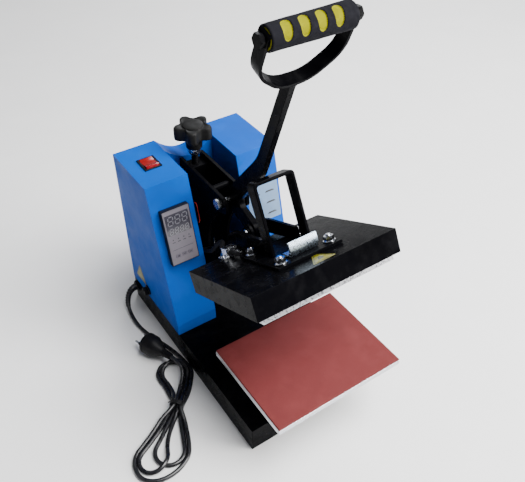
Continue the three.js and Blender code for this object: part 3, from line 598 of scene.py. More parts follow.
def hexagon(corner_radius, low, high, bore=0.0, sides=48):
    """A chamfered hexagon nut or bolt head about Z; its corners are cut back as a turned chamfer does."""
    flat = corner_radius * math.cos(math.pi / 6)
    height = high - low

    def ring(z, limit):
        points = []
        for i in range(sides):
            turn = 2 * math.pi * i / sides
            hexed = flat / math.cos((turn + math.pi / 6) % (math.pi / 3) - math.pi / 6)
            r = min(hexed, limit)
            points.append(at(r * math.cos(turn), r * math.sin(turn), z))
        return points

    cut = height * 0.16
    edge = corner_radius * 0.93
    levels = [(low, flat * 0.98), (low, edge), (low + cut, corner_radius * 1.01)]
    levels += [(high - cut, corner_radius * 1.01), (high, edge), (high, flat * 0.96)]
    rings = [ring(z, limit) for z, limit in levels]
    if not bore:
        return ring_mesh("hexagon", rings)
    hole = ((high, bore + 0.6), (high - 0.6, bore), (low + 0.6, bore), (low, bore + 0.6))
    rings += [circle(r, z, sides) for z, r in hole]
    return ring_mesh("nut", rings, loop_rings=True)


def washer(outer, inner, low, high, sides=40):
    soft = 0.25
    section = [(inner, low), (outer - soft, low), (outer, low + soft)]
    section += [(outer, high - soft), (outer - soft, high), (inner, high)]
    return ring_mesh("washer", [circle(r, z, sides) for r, z in section], loop_rings=True)


def pan_head(name, place_at, outward, body, radius=3.2, look="zinc"):
    """A cross-recessed pan-head screw set on a sheet."""
    profile = [(0, -1.2), (radius * 0.5, -1.2), (radius, -0.05), (radius, 0.5), (radius * 0.85, 1.3),
               (radius * 0.45, 1.75), (0, 1.85)]
    head = lathe(name, profile, 28)
    bm = bmesh.new()
    bm.from_mesh(head)
    for v in bm.verts:
        x, y = abs(v.co.x), abs(v.co.y)
        if v.co.z > 1.2 * MM and min(x, y) < 0.4 * MM and max(x, y) < radius * 0.6 * MM:
            v.co.z -= 0.7 * MM
    bm.to_mesh(head)
    bm.free()
    turn = Vector(outward).to_track_quat("Z", "Y").to_matrix().to_4x4()
    return part(name, head, look, body, Matrix.Translation(Vector(place_at)) @ turn, 30)


# ---------------------------------------------------------------- mains cord
CORD_RADIUS = 3.5 * MM
LYING = 3.9  # height of the cord's centre line where it lies on the floor, in millimetres
CORD_ROUTE = [
    (-120.8, 219, 32), (-128.5, 218.3, 31.2), (-136, 215.7, 28.2), (-142.6, 210.9, 23.2),
    (-147.8, 203.9, 17), (-151.4, 195.3, 11.2), (-153.6, 185.6, 6.8), (-154.8, 175, 4.5),
    (-155.2, 164, LYING), (-154.9, 152, LYING), (-153.4, 140, LYING), (-151.5, 132, LYING),
    (-148, 119, LYING), (-142.5, 107, LYING), (-136.5, 96, LYING), (-131, 86, LYING),
    (-127.4, 78, LYING), (-125, 70.6, LYING),
]
TIE = (-177, -41)
ALONG_TIE = (-0.682, -0.731)  # the bundle's direction through the tie, towards the loops
PLUG_PLACE = (-161, 97, 18.45)
PLUG_TURN = math.atan2(-0.954, 0.3)
PLUG_PITCH = math.radians(6)


def tie_pass(across, height, towards_loops):
    """Three points through the tie, at that distance to its right side and that height."""
    ax, ay = ALONG_TIE
    line = [(TIE[0] + ax * d - ay * across, TIE[1] + ay * d + ax * across, height) for d in (-9, 0, 9)]
    return line if towards_loops else line[::-1]


def cord_points():
    """The whole cord: its route, three loops below the tie, two folds above it, and the end in the plug."""
    down = [(5.4, LYING), (1.8, 10.0), (5.4, 16.1)]
    up = [(-1.8, LYING), (-5.4, 10.0), (-1.8, 16.1)]
    right_loop = [
        (-184, -66), (-195, -97), (-207, -121), (-223, -131), (-241, -130), (-250, -114), (-236, -89),
        (-206, -62),
    ]
    left_loop = [
        (-200, -62), (-221, -87), (-234, -110), (-246, -127), (-261, -131), (-274, -121), (-276, -104),
        (-264, -88), (-236, -73), (-204, -54),
    ]
    wide_loop = [
        (-178, -66), (-187, -98), (-199, -126), (-218, -139), (-243, -143), (-268, -138), (-283, -121),
        (-284, -101), (-270, -83), (-238, -65), (-202, -49),
    ]
    points = [tuple(p) for p in CORD_ROUTE]
    points += [(x, y, LYING) for x, y in ((-121.8, 58), (-120.8, 40), (-122, 22), (-130, 3), (-148, -16))]
    for turn, loop in enumerate((right_loop, left_loop, wide_loop)):
        points += tie_pass(*down[turn], True)
        level = LYING + 6.4 * turn
        points += [(x, y, level) for x, y in loop]
        points += tie_pass(*up[turn], False)
        if turn == 2:
            break
        z = LYING + 6.6 * turn
        inward = 3.4 * turn
        points += [
            (-174 + inward, -14, z), (-170.5 + inward, 10, z), (-169 + inward, 30, z),
            (-163 + inward * 0.6, 45, z), (-148.5, 52.5 - inward * 0.6, z), (-134, 45, z),
            (-128 + inward, 30, z), (-130 + inward, 12, z), (-143 + inward, -10, z + 2),
        ]
    points += [
        (-163, -26, 15.6), (-153.5, -17.5, 16.2), (-145, -9.2, 17.8), (-139.2, 0, 20.4),
        (-136.6, 10, 23.2), (-137.1, 19.7, 25), (-139.6, 29.3, 25.6), (-142.7, 38.8, 25.1),
    ]
    return [at(*p) for p in points]


TIGHTEST = 27 * MM  # the settling straightens a bend tighter than this radius
CORD_STEP = 4 * MM


def straighten(points, weight):
    """Eases each bend over one to four steps until its sag suits the tightest radius."""
    for reach in (4, 3, 2, 1):
        sag = (points[:-2 * reach] + points[2 * reach:]) / 2 - points[reach:-reach]
        deep = np.linalg.norm(sag, axis=1) + 1e-12
        allowed = (reach * CORD_STEP) ** 2 / (2 * TIGHTEST)
        fix = sag * (np.maximum(0, deep - allowed) / deep)[:, None] * 0.35
        move = np.zeros_like(points)
        move[reach:-reach] += fix * 0.6
        move[:-2 * reach] -= fix * 0.3
        move[2 * reach:] -= fix * 0.3
        points += move * weight


def keep_lengths(points, rest, weight):
    """Brings each step back to its own length."""
    for start in (0, 1):
        a = np.arange(start, len(points) - 1, 2)
        b = a + 1
        link = points[b] - points[a]
        long = np.linalg.norm(link, axis=1)
        fix = link * ((long - rest[a]) / long)[:, None] / np.maximum(weight[a] + weight[b], 1)
        points[a] += fix * weight[a]
        points[b] -= fix * weight[b]


def straight_ends(points):
    """Lets the cord leave each end in the direction of its first step, within the tightest radius."""
    for first, toward in ((0, 1), (-1, -1)):
        way = points[first + toward] - points[first]
        way /= np.linalg.norm(way)
        for n in (2, 3, 4, 5):
            arm = points[first + toward * n] - points[first]
            side = arm - (arm @ way) * way
            deep = np.linalg.norm(side)
            allowed = n * (n - 1) * CORD_STEP ** 2 / (2 * TIGHTEST)
            if deep > allowed:
                points[first + toward * n] -= side * (deep - allowed) / deep


def settled(line, held, tied):
    """The line after its turns have pushed each other apart, eased their bends and sunk to the floor."""
    rounds = 220
    points = line.copy()
    count = len(points)
    free = ~held
    rest = np.linalg.norm(np.diff(line, axis=0), axis=1)
    apart = 2 * CORD_RADIUS * 1.01
    index = np.arange(count)
    far = np.abs(index[:, None] - index[None, :]) * CORD_STEP > 3.2 * apart
    wall = -116.3 * MM - CORD_RADIUS * 1.05  # beside the machine's left side
    weight = free.astype(float)[:, None]
    for turn in range(rounds):
        if turn < rounds - 60:
            points[free, 2] -= 0.1 * MM
        if turn < rounds - 20:
            points[tied] += 0.25 * (line[tied] - points[tied])
        gap = points[:, None, :] - points[None, :, :]
        distance = np.linalg.norm(gap, axis=2) + 1e-9
        close = far & (distance < apart)
        push = np.where(close, (apart - distance) / distance, 0.0)[:, :, None] * gap
        points += 0.5 * push.sum(1) / np.maximum(close.sum(1), 1)[:, None] * weight
        for _ in range(3):
            straighten(points, weight)
            keep_lengths(points, rest, weight)
        bend = np.zeros_like(points)
        bend[1:-1] = (points[:-2] + points[2:]) / 2 - points[1:-1]
        points += 0.3 * bend * weight
        points[free, 2] = np.maximum(points[free, 2], CORD_RADIUS + 0.1 * MM)
        straight_ends(points)
        beside = free & (points[:, 1] > -0.18)
        points[beside, 0] = np.minimum(points[beside, 0], wall)
    return points


def add_cord():
    """The mains cord as one smooth line, with its boot, tie and plug."""
    line = spline(cord_points(), CORD_STEP)
    held = np.zeros(len(line), bool)
    held[:2] = True
    held[-2:] = True
    near = np.linalg.norm((line - np.array(at(*TIE, 10)))[:, :2], axis=1)
    tied = np.zeros(len(line), bool)
    tied[1:-1] = (near[1:-1] < 9 * MM) & (near[1:-1] <= near[:-2]) & (near[1:-1] < near[2:])
    tied[2:11] = True
    tied[-9:-2] = True
    line = settled(line, held, tied)

    curve = bpy.data.curves.new("power_cord_line", "CURVE")
    curve.dimensions = "3D"
    curve.bevel_depth = CORD_RADIUS
    curve.bevel_resolution = 4
    curve.use_fill_caps = True
    thread_line = curve.splines.new("POLY")
    thread_line.points.add(len(line) - 1)
    for point, place_at in zip(thread_line.points, line):
        point.co = (*place_at, 1)
    thread_line.use_smooth = True
    cord = linked("power_cord_line", curve)
    curve.materials.append(LOOKS["cord"])
    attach(cord, "root")
    stand_for(cord, "cord", "power_cord", "cord_hank")
    with_it = [add_boot(line), add_tie(), add_plug()]


def add_boot(line):
    """Ribbed strain relief that tapers along the cord."""
    count = 12
    long = 44 * MM
    fine = spline([Vector(p) for p in line[: count + 1]], 0.4 * MM)
    travelled = np.concatenate([[0], np.cumsum(np.linalg.norm(np.diff(fine, axis=0), axis=1))])
    fine = fine[travelled <= long]
    travelled = travelled[travelled <= long]
    radii = []
    for d in travelled:
        share = d / long
        radius = 6.7 - 2.3 * share
        rib = (d / (4.4 * MM)) % 1.0
        groove = 0.9 if 0.62 < rib < 0.9 and 0.1 < share < 0.92 else 0.0
        end = max(0.0, (share - 0.97) / 0.03) * 0.7
        radii.append((radius - groove - end) * MM)
    mesh = sweep("cord_boot_ribbed", fine, radii, 24)
    return part("cord_boot_ribbed", mesh, "cord", "root", None, 50, "cord_boot")


def add_tie():
    """Flat tie strip wound twice round the bundle, its ends twisted together."""
    turn = Matrix.Translation(at(*TIE, 0)) @ turned(math.atan2(ALONG_TIE[1], ALONG_TIE[0]), "Z")
    meshes = []
    for offset in (-2.2, 1.6):
        rings = []
        for i in range(64):
            angle = 2 * math.pi * i / 64
            swell = 1 / (abs(math.cos(angle)) ** 2.6 + abs(math.sin(angle)) ** 2.6) ** (1 / 2.6)
            y, z = 10.3 * swell * math.cos(angle), 10.6 + 10.3 * swell * math.sin(angle)
            lean = 0.9 * math.sin(angle)
            out_y, out_z = math.cos(angle), math.sin(angle)
            rings.append([
                at(offset + lean + dx, y + out_y * h, max(0.15, z + out_z * h))
                for dx, h in ((-1.7, 0), (-1.7, 0.7), (-0.9, 1.1), (0.9, 1.1), (1.7, 0.7), (1.7, 0))
            ])
        meshes.append(ring_mesh("wrap", rings, loop_rings=True))
    for sign in (-1, 1):
        bends = ((sign * 1.2 + 0.2, -3, 21.6), (sign * 2.2, -4.5, 23.2), (sign * 3.6, -8, 23.6),
                 (sign * 6, -11.5, 22.6))
        tail = spline([at(*p) for p in bends], 1 * MM)
        meshes.append(sweep("tail", tail, [0.9 * MM] * len(tail), 8))
    mesh = join_meshes("tie_strip", meshes)
    return part("tie_strip", mesh, "cord_tie", "root", turn, 50, "cord_tie")


def add_plug():
    """Round two-pin plug with finger ribs and a flexible tail."""
    profile = [(0, 0), (16.2, 0), (17.4, 0.4), (18.2, 1.2), (18.5, 2.4), (18.5, 6)]
    profile += [(17.6, 6.5), (17.6, 7.4), (18.4, 7.9), (18.4, 18)]
    profile += [(18, 20.5), (16.6, 24.5), (14.5, 29), (11.8, 33.4), (9.5, 37), (7.4, 39.6), (6.7, 41)]
    for k in range(5):
        h = 42.5 + k * 3.6
        rib, groove = 6.6 - 0.22 * k, 5.3 - 0.15 * k
        profile += [(rib, h), (rib, h + 1.9), (groove, h + 2.3), (groove, h + 3.2)]
    profile += [(5.2, 60.2), (4.6, 61), (0, 61)]
    body = lathe("plug_body", profile, 72)
    for v in body.vertices:
        reach = math.hypot(v.co.x, v.co.y)
        if 8 * MM < v.co.z < 36 * MM and reach > 8 * MM:
            angle = math.atan2(v.co.y, v.co.x)
            flank = max(0.0, abs(math.sin(angle)) - 0.82) / 0.18
            ribs = 0.5 + 0.5 * math.cos(2 * math.pi * v.co.z / (4.2 * MM))
            shrink = 1 - 0.07 * min(1.0, flank * 2) * (0.45 + 0.55 * ribs)
            v.co.x *= shrink
            v.co.y *= shrink
    pin = [(0, -19), (1.2, -18.8), (2.0, -18), (2.4, -16.6), (2.4, 1), (0, 1)]
    sleeve = [(0, -9), (2.55, -9), (2.6, -8.7), (2.6, 1), (0, 1)]
    meshes, looks = [body], [0]
    for side in (-1, 1):
        apart = place(0, side * 9.5, 0)
        meshes += [moved(lathe("pin", pin, 24), apart), moved(lathe("sleeve", sleeve, 24), apart)]
        looks += [1, 0]
    lie = place(*PLUG_PLACE) @ turned(PLUG_TURN, "Z") @ turned(-PLUG_PITCH, "Y") @ TO_X
    mesh = join_meshes("plug_body", meshes, looks)
    looks = [LOOKS["plug"], LOOKS["chrome"]]
    return part("plug_body", mesh, "plug", "root", lie, 40, "mains_plug", look=looks)


# ---------------------------------------------------------------- base, plate and pad
REFINED = {  # CAD node: look, width of its rounded edges in millimetres
    "base_frame": ("black_metal", 1.2), "base_pan": ("black_metal", 0.3),
    "plate_pedestal": ("black_metal", 0.8), "lower_plate": ("aluminium", 0.5),
    "left_tower_cover": ("blue_metal", 1.0), "right_tower_cover": ("blue_metal", 1.0),
    "rear_cover": ("blue_metal", 0.6), "controller_case": ("black_plastic", 0.5),
    "controller_face": ("controller_face", 0.15), "display_window": ("display", 0.2),
    "key_set": ("key", 0.3), "key_down": ("key", 0.3), "key_up": ("key", 0.3),
    "switch_housing": ("black_plastic", 0.5), "fuse_holder": ("black_plastic", 0.4),
    "relay": ("black_plastic", 0.8), "terminal_block": ("terminal", 0.4),
    "main_frame": ("black_metal", 0.7), "cross_block": ("black_metal", 0.6),
    "front_spacer": ("black_metal", 0.3), "link_pin": ("zinc", 0.3),
    "arm_plate_left": ("black_metal", 0.8), "arm_plate_right": ("black_metal", 0.8),
    "toggle_pin": ("zinc", 0.8), "mounting_plate": ("black_metal", 0.6),
    "yoke": ("black_metal", 1.0), "lever_rest": ("lever_rest_zinc_painted_reflection", 0.6),
    "platen_cover": ("black_metal", 1.3), "heating_plate": ("aluminium", 0.8),
    "heating_element": ("machined_steel", 0.6), "insulation": ("insulation", 1.0),
    "cable_clamp": ("zinc", 0.5), "toggle_link": ("black_metal", 0.7),
    "lever_bar": ("black_metal", 1.2), "handle_bow": ("black_metal", 1.1),
}


def add_refined():
    for node, (look, width) in REFINED.items():
        refined(node, look, width * MM)


def slab(name, xs, ys, low, top):
    """A closed plate over a grid, flat below at low, with its upper face at top(x, y)."""
    bm = bmesh.new()
    upper = [[bm.verts.new((x, y, top(x, y))) for y in ys] for x in xs]
    lower = [[bm.verts.new((x, y, low)) for y in ys] for x in xs]
    for i in range(len(xs) - 1):
        for j in range(len(ys) - 1):
            bm.faces.new((upper[i][j], upper[i + 1][j], upper[i + 1][j + 1], upper[i][j + 1]))
            bm.faces.new((lower[i][j], lower[i][j + 1], lower[i + 1][j + 1], lower[i + 1][j]))
    for row in (0, -1):
        for a, b, c, d in zip(upper[row], upper[row][1:], lower[row][1:], lower[row]):
            bm.faces.new((a, b, c, d))
        upper_edge, lower_edge = [line[row] for line in upper], [line[row] for line in lower]
        for a, b, c, d in zip(upper_edge, upper_edge[1:], lower_edge[1:], lower_edge):
            bm.faces.new((a, b, c, d))
    return mesh_of(bm, name)


def graded(low, high, step, edge):
    """Positions from low to high, close together near both ends."""
    near = [edge * k for k in (0, 0.12, 0.3, 0.6, 1.0, 1.8)]
    count = round((high - low - 3.6 * edge) / step)
    inner = list(np.linspace(low + near[-1], high - near[-1], count + 1))
    return [low + d for d in near[:-1]] + inner + [high - d for d in reversed(near[:-1])]


def add_pad():
    """Silicone sheet with softly worn edges and a slightly uneven face."""
    low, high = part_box("silicone_pad")
    edge = 0.9 * MM

    def top(x, y):
        d = min(x - low.x, high.x - x, y - low.y, high.y - y, edge)
        rounding = edge - math.sqrt(max(0.0, edge ** 2 - (edge - d) ** 2))
        swell = 0.10 * MM * noise.noise(Vector((x, y, 0)) * 30)
        ripple = 0.05 * MM * noise.noise(Vector((x, y, 1)) * 110)
        return high.z - rounding + (swell + ripple)

    xs, ys = graded(low.x, high.x, 4 * MM, edge), graded(low.y, high.y, 4 * MM, edge)
    mesh = slab("pad_sheet", xs, ys, low.z, top)
    pad = part("pad_sheet", mesh, "silicone", "root", None, 60, "silicone_pad")


# ---------------------------------------------------------------- towers and their fittings
def plate_on(name, corners, thickness, matrix, look, body, slot="black_plastic", edge=0.05):
    """A thin label or mark: an outline in millimetres lying on the plane z = 0 of matrix."""
    return part(name, prism(name, corners, 0.02, thickness, edge), slot, body, matrix, 40, look=look)


def scaled(corners, share):
    cx = sum(c[0] for c in corners) / len(corners)
    cy = sum(c[1] for c in corners) / len(corners)
    return [(cx + (x - cx) * share, cy + (y - cy) * share) for x, y in corners]


def rounded(corners, radius, steps=4):
    """The outline with every corner rounded."""
    points = []
    count = len(corners)
    for i, corner in enumerate(corners):
        p, a, b = Vector(corner), Vector(corners[i - 1]), Vector(corners[(i + 1) % count])
        cut = min(radius, (a - p).length * 0.45, (b - p).length * 0.45)
        start, end = p + (a - p).normalized() * cut, p + (b - p).normalized() * cut
        for k in range(steps + 1):
            t = k / steps
            points.append(tuple(start * (1 - t) ** 2 + p * (2 * t * (1 - t)) + end * t ** 2))
    return points


def rectangle(x0, x1, y0, y1):
    return [(x0, y0), (x1, y0), (x1, y1), (x0, y1)]


def facing(across, up, out):
    """Turns x, y and z to those three directions."""
    return Matrix((across, up, out)).transposed().to_4x4()


def add_labels():
    """Plain stickers: a yellow triangle on the left, a pale plate in front and a rating plate behind."""
    on_left = Matrix.Translation((-TOWER_OUTER, 0, 0)) @ facing((0, -1, 0), (0, 0, 1), (-1, 0, 0))
    triangle = [(-214, 68), (-170, 68), (-192, 107)]
    plate_on("side_sticker_edge", rounded(triangle, 5), 0.12, on_left, MARK_BLACK, "root")
    plate_on("side_sticker", rounded(scaled(triangle, 0.8), 4), 0.2, on_left, LABEL_YELLOW, "root")

    on_right = Matrix.Translation((2 * TOWER_MID, 0, 0)) @ ON_FRONT
    plate = rounded(rectangle(-27, 33, -132, -62), 2)
    plate_on("front_sticker", plate, 0.15, on_right, PALE_BLUE, "root")
    for row in range(3):
        for column in range(2):
            x, y = -22 + column * 28, -82 - row * 20
            bar = rounded([(x, y), (x + 20, y), (x + 16, y + 3), (x + 4, y + 3)], 1)
            plate_on(f"front_sticker_mark_{row}_{column}", bar, 0.25, on_right, MARK_BLACK, "root")

    on_back = Matrix.Translation((0, TOWER_BACK, 0)) @ facing((-1, 0, 0), (0, 0, 1), (0, 1, 0))
    plate = rounded(rectangle(-28, 28, 150, 190), 3)
    plate_on("rating_plate", plate, 0.5, on_back, LOOKS["aluminium"], "root", "aluminium")
    for row in range(4):
        bar = rectangle(-23, 23 - 9 * (row % 2), 157 + row * 8, 159 + row * 8)
        plate_on(f"rating_plate_bar_{row}", bar, 0.6, on_back, MARK_BLACK, "root")


# A segment's middle across and up the digit, and 1 where it stands upright.
SEGMENTS = {"a": (0.5, 1, 0), "b": (1, 0.75, 1), "c": (1, 0.25, 1), "d": (0.5, 0, 0), "e": (0, 0.25, 1),
            "f": (0, 0.75, 1), "g": (0.5, 0.5, 0)}


def digit(x, y, width, height, bar, level):
    """The seven bars of one digit, leaning slightly, with its lower left corner at x, y."""
    meshes = []
    for across, up, upright in SEGMENTS.values():
        cx, cy = x + width * across + 0.12 * height * up, y + height * up
        long = (height / 2 if upright else width) / 2 - bar * 0.55
        half = bar / 2
        inner = long - half
        shape = [(-long, 0), (-inner, -half), (inner, -half), (long, 0), (inner, half), (-inner, half)]
        if upright:
            shape = [(-v + 0.12 * u, u) for u, v in shape]
        meshes.append(prism("segment", [(cx + u, cy + v) for u, v in shape], level, level + 0.12))
    return meshes


def add_display():
    """Unlit figures on the window, three large over four small, and the marks on the panel."""
    level = 10.42  # just over the window's face
    meshes = []
    for k in range(3):
        meshes += digit(-16.5 + k * 12.2, -68, 8, 14.5, 1.5, level)
    for k in range(4):
        meshes += digit(-16.5 + k * 9, -83.6, 5.6, 10, 1.0, level)
    figures = join_meshes("figures", meshes)
    part("display_figures", figures, "display", "root", ON_FRONT, 40, look=SEGMENT_GREY)

    level, pitch = 10.6, 9.3  # the panel's face, and the marks' spacing along it
    lamp = [(0, 0), (1.1, 0), (1.1, 0.12), (0.7, 0.3), (0, 0.34)]
    meshes = [moved(lathe("lamp", lamp, 16), place(-14 + k * pitch, -93, level)) for k in range(4)]
    for k in range(4):
        bar = rectangle(-16 + k * pitch, -11 + k * pitch, -98.4, -97.2)
        meshes.append(prism("bar", bar, level, level + 0.1))
    meshes.append(prism("line", rectangle(-18, 18, -111, -110.4), level, level + 0.1))
    marks = join_meshes("marks", meshes)
    part("panel_marks", marks, "controller_face", "root", ON_FRONT, 40, look=MARK_BLACK)


def add_key_marks():
    """Set, down and up symbols, one on each key."""
    keys_top, row, pitch = 11.1, -122.5, 11
    up = [(-2.2, -1.2), (-1.6, -1.6), (0, 0.5), (1.6, -1.6), (2.2, -1.2), (0, 1.5)]
    shapes = {
        "set": [(1.7, -1.8), (1.7, 1.8), (-1.9, 0)],
        "down": [(x, -y) for x, y in reversed(up)],
        "up": up,
    }
    on_keys = ON_FRONT @ place(0, 0, keys_top)
    for k, (name, shape) in enumerate(shapes.items()):
        corners = [((k - 1) * pitch + u, row + v) for u, v in shape]
        plate_on(f"key_mark_{name}", corners, 0.1375, on_keys, MARK_BLACK, f"{name}_key", "key", 0.02)


FROM_PROFILE = facing((0, 1, 0), (0, 0, 1), (1, 0, 0))  # outline (u, v) to (y, z), depth to x


def add_rocker():
    """Red rocker with its two marks; it leans back at rest."""
    radius, half, lean = 13.9, 10.8, math.radians(7)
    low, high = math.radians(-30), math.radians(17)
    turns = [low + (high - low) * k / 8 for k in range(9)]
    arc = [(radius * math.cos(t), radius * math.sin(t)) for t in turns]
    hollow = []
    for k in range(1, 12):
        t = k / 12
        a, b, c = Vector(arc[-1]), Vector((radius * 0.45, 1.6)), Vector((0, 1.9))
        hollow.append(tuple(a * (1 - t) ** 2 + b * (2 * t * (1 - t)) + c * t ** 2))
    right = arc + hollow + [(0, 1.9)]
    outline = right + [(-x, y) for x, y in reversed(right[:-1])]
    stand = Matrix.Translation((-TOWER_MID, SWITCH_Y, TOWER_TOP + 0.6 * MM)) @ turned(-lean, "X")
    cap = prism("rocker_cap", outline, -half, half, 0.35)
    part("rocker_cap", cap, "red_plastic", "rocker", stand @ FROM_PROFILE, 30, "switch_rocker")
    line = prism("line", rectangle(-2.4, 2.4, 0, 1.0), 0, 0.16)
    section = ((1.5, 0), (2.3, 0), (2.3, 0.16), (1.5, 0.16))
    ring = ring_mesh("ring", [circle(r, z, 28) for r, z in section], loop_rings=True)
    slope = math.atan2(2.7, 7.5)
    for name, mesh, side in (("rocker_mark_on", line, 1), ("rocker_mark_off", ring, -1)):
        lay = stand @ place(0, side * 8.3, 2.17) @ turned(side * slope, "X")
        part(name, mesh, "red_plastic", "rocker", lay, 40, look=MARK_WHITE)


def add_fittings():
    """Fuse cap, cord gland, the rear cover's screws, and a red wire at the left tower."""
    cap = [(0, 0), (7.2, 0), (7.5, 0.5), (7.5, 6.2), (7.0, 7.2), (2.2, 7.4), (0, 7.4)]
    mesh = lathe("fuse_cap_ribbed", cap, 60)
    for v in mesh.vertices:
        reach = math.hypot(v.co.x, v.co.y)
        if reach > 6.5 * MM and v.co.z > 0.3 * MM:
            shrink = 1 - 0.05 * (round(math.atan2(v.co.y, v.co.x) * 30 / math.pi) % 2)
            v.co.x *= shrink
            v.co.y *= shrink
        if abs(v.co.y) < 0.9 * MM and v.co.z > 7 * MM:
            v.co.z -= 1.1 * MM
    out = Matrix.Translation(at(-119.2, 167, 64)) @ turned(-math.pi / 2, "Y")
    part("fuse_cap_ribbed", mesh, "black_plastic", "root", out, 30, "fuse_cap")

    gland = Matrix.Translation(at(-116.3, 219, 32)) @ turned(-math.pi / 2, "Y")
    section = ((4.2, -12), (8, -12), (8, 0.3), (4.2, 0.3))
    neck = ring_mesh("neck", [circle(r, z, 32) for r, z in section], loop_rings=True)
    mesh = join_meshes("gland", [hexagon(11, 0.3, 4, 4.2), neck])
    part("gland_hexagon", mesh, "black_plastic", "root", gland, 30, "cord_gland")

    for side, name in ((-1, "left"), (1, "right")):
        for k, z in enumerate((70, 270)):
            pan_head(f"rear_screw_{name}_{k}", at(side * 36, 229, z), (0, 1, 0), "root", 3.0, "chrome")
    bends = ((-45, 97, 276), (-43.1, 96.4, 273), (-42.9, 92, 258), (-43.1, 88.6, 244), (-45, 88, 241))
    line = spline([at(*p) for p in bends], 1.5 * MM)
    wire = sweep("tower_wire", line, [0.6 * MM] * len(line), 8)
    part("tower_wire", wire, "cable_sleeve", "root", None, 35, look=WIRE_RED)


# ---------------------------------------------------------------- frame, spring and knob
def fastener(name, meshes, place_at, slot, body, node, look=None):
    """A bolt or nut along X, standing for its CAD node."""
    matrix = Matrix.Translation(place_at) @ TO_X
    return part(name, join_meshes(name, meshes), slot, body, matrix, 30, node, look=look)


def add_pins():
    """Main shaft, lever pin and grip bolt with their heads and nuts, along X."""
    shaft = lathe("shaft", [(0, -31), (6, -31), (6, 39.6), (4.8, 41), (0, 41)], 32)
    head = hexagon(10.4, -38, -30.3)
    fastener("main_shaft_bolt", [shaft, head], PIVOT, "machined_steel", "root", "main_shaft")
    fastener("main_shaft_nut", [hexagon(10.4, 30.3, 38.3, 6.1)], PIVOT, "zinc", "root", "shaft_nut")
    pin = lathe("pin", [(0, -22), (5, -22), (5, 22), (0, 22)], 32)
    bolt = [pin, thread(5, 21.5, 30.2, 1.5), hexagon(9, -28.2, -21.5)]
    fastener("lever_pin_bolt", bolt, LEVER_PIVOT, "zinc", "root", "lever_pin")
    nut = [hexagon(9, 21.5, 28.5, 5.1)]
    fastener("lever_pin_hexnut", nut, LEVER_PIVOT, "zinc", "root", "lever_pin_nut")
    black = LOOKS["black_metal"]
    rod = lathe("rod", [(0, -61), (5, -61), (5, 62), (0, 62)], 32)
    bolt = [rod, thread(5, 61.5, 69.3, 1.5), hexagon(9, -66.3, -60.3)]
    fastener("grip_bolt_head", bolt, GRIP, "chrome", "lever", "grip_bolt", black)
    nut = [hexagon(9, 60.3, 67.3, 5.1)]
    fastener("grip_hexnut", nut, GRIP, "chrome", "lever", "grip_nut", black)

    crank, crank_length = math.radians(195.64), 65.52  # the lever's short arm, from its pin to the link's
    top = LEVER_PIVOT + at(0, crank_length * math.cos(crank), crank_length * math.sin(crank))
    cap = [(0, 0), (5.2, 0), (5.2, 1.6), (4.4, 2.6), (2.2, 3.1), (0, 3.2)]
    for side, name in ((-1, "left"), (1, "right")):
        out = turned(side * math.pi / 2, "Y")
        on_link = Matrix.Translation(top + at(side * 14.5, 0, 0)) @ out
        part(f"link_rivet_{name}", lathe("rivet", cap, 32), "chrome", "link", on_link, 30)
        pin_end = ON_ARM @ Matrix.Translation(at(side * 30.1, 16, 141)) @ out
        part(f"toggle_circlip_{name}", washer(9.5, 6.05, 0, 1.2), "zinc", "arm", pin_end, 30)


def add_spring():
    """Torsion spring round the main shaft; its turns wind from the frame's side to the arm's."""
    radius, half, turns = 9, 10.5, 6

    def leg(x, height):
        """A point of a straight leg, at that height over the shaft."""
        return at(x, PIVOT.y / MM + radius, PIVOT.z / MM + height)

    points = [leg(-half, -34), leg(-half, -16)]
    steps = turns * 20
    for k in range(steps + 1):
        angle = 2 * math.pi * turns * k / steps
        x = -half + 2 * half * k / steps
        points.append(PIVOT + at(x, radius * math.cos(angle), radius * math.sin(angle)))
    points += [leg(half, 13), leg(half, 26)]
    line = spline(points, 1.4 * MM)
    coil = sweep("coil", line, [1.6 * MM] * len(line), 10)
    spring = part("lift_spring_coil", coil, "zinc", None, None, 35, "lift_spring")
    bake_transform(spring)


def add_knob():
    """Five-lobed knob on its threaded screw, with a lock nut."""
    stand = place(0, KNOB_Y, 0)
    screw = join_meshes("screw", [thread(6, 236.4, 352, 1.75, 0.95, 24)])
    black = LOOKS["black_metal"]
    part("pressure_screw", screw, "machined_steel", "knob", stand, 60, "adjusting_screw", look=black)
    part("pressure_locknut", hexagon(10.4, 311, 320, 6.1), "zinc", "knob", stand, 30, "lock_nut")
    steps = 140

    def ring(z, lobe, round_radius=0.0, share=1.0):
        made = []
        for i in range(steps):
            turn = 2 * math.pi * i / steps
            wave = math.cos(5 * (turn - math.radians(23)))
            star = 26.3 + 5.2 * math.copysign(abs(wave) ** 0.8, wave) - lobe
            r = share * star + (1 - share) * round_radius
            made.append(at(r * math.cos(turn), r * math.sin(turn), z))
        return made

    levels = [  # height, how far the star is drawn in; to blend, also a round's radius and the star's share
        (322, 0, 6.1, 0), (322, 0, 12.4, 0), (322.8, 0, 13.2, 0), (335, 0, 14, 0), (340, 0, 15.5, 0),
        (341, 0, 18, 0.1), (341, 2.2), (341.5, 1.0), (343, 0.2), (346, 0), (358, 0), (360.8, 0.3),
        (362.4, 1.2), (363, 2.6), (362.8, 5.5, 22, 0.6), (362.1, 0, 19, 0.08), (361.6, 0, 17.6, 0),
        (361.9, 0, 16.8, 0), (363.2, 0, 16.2, 0), (363.8, 0, 14.5, 0), (364, 0, 8, 0), (364, 0, 0.6, 0),
    ]
    knob = ring_mesh("knob", [ring(*level) for level in levels])
    part("star_knob_moulding", knob, "knob_plastic", "knob", stand, 40, "star_knob")


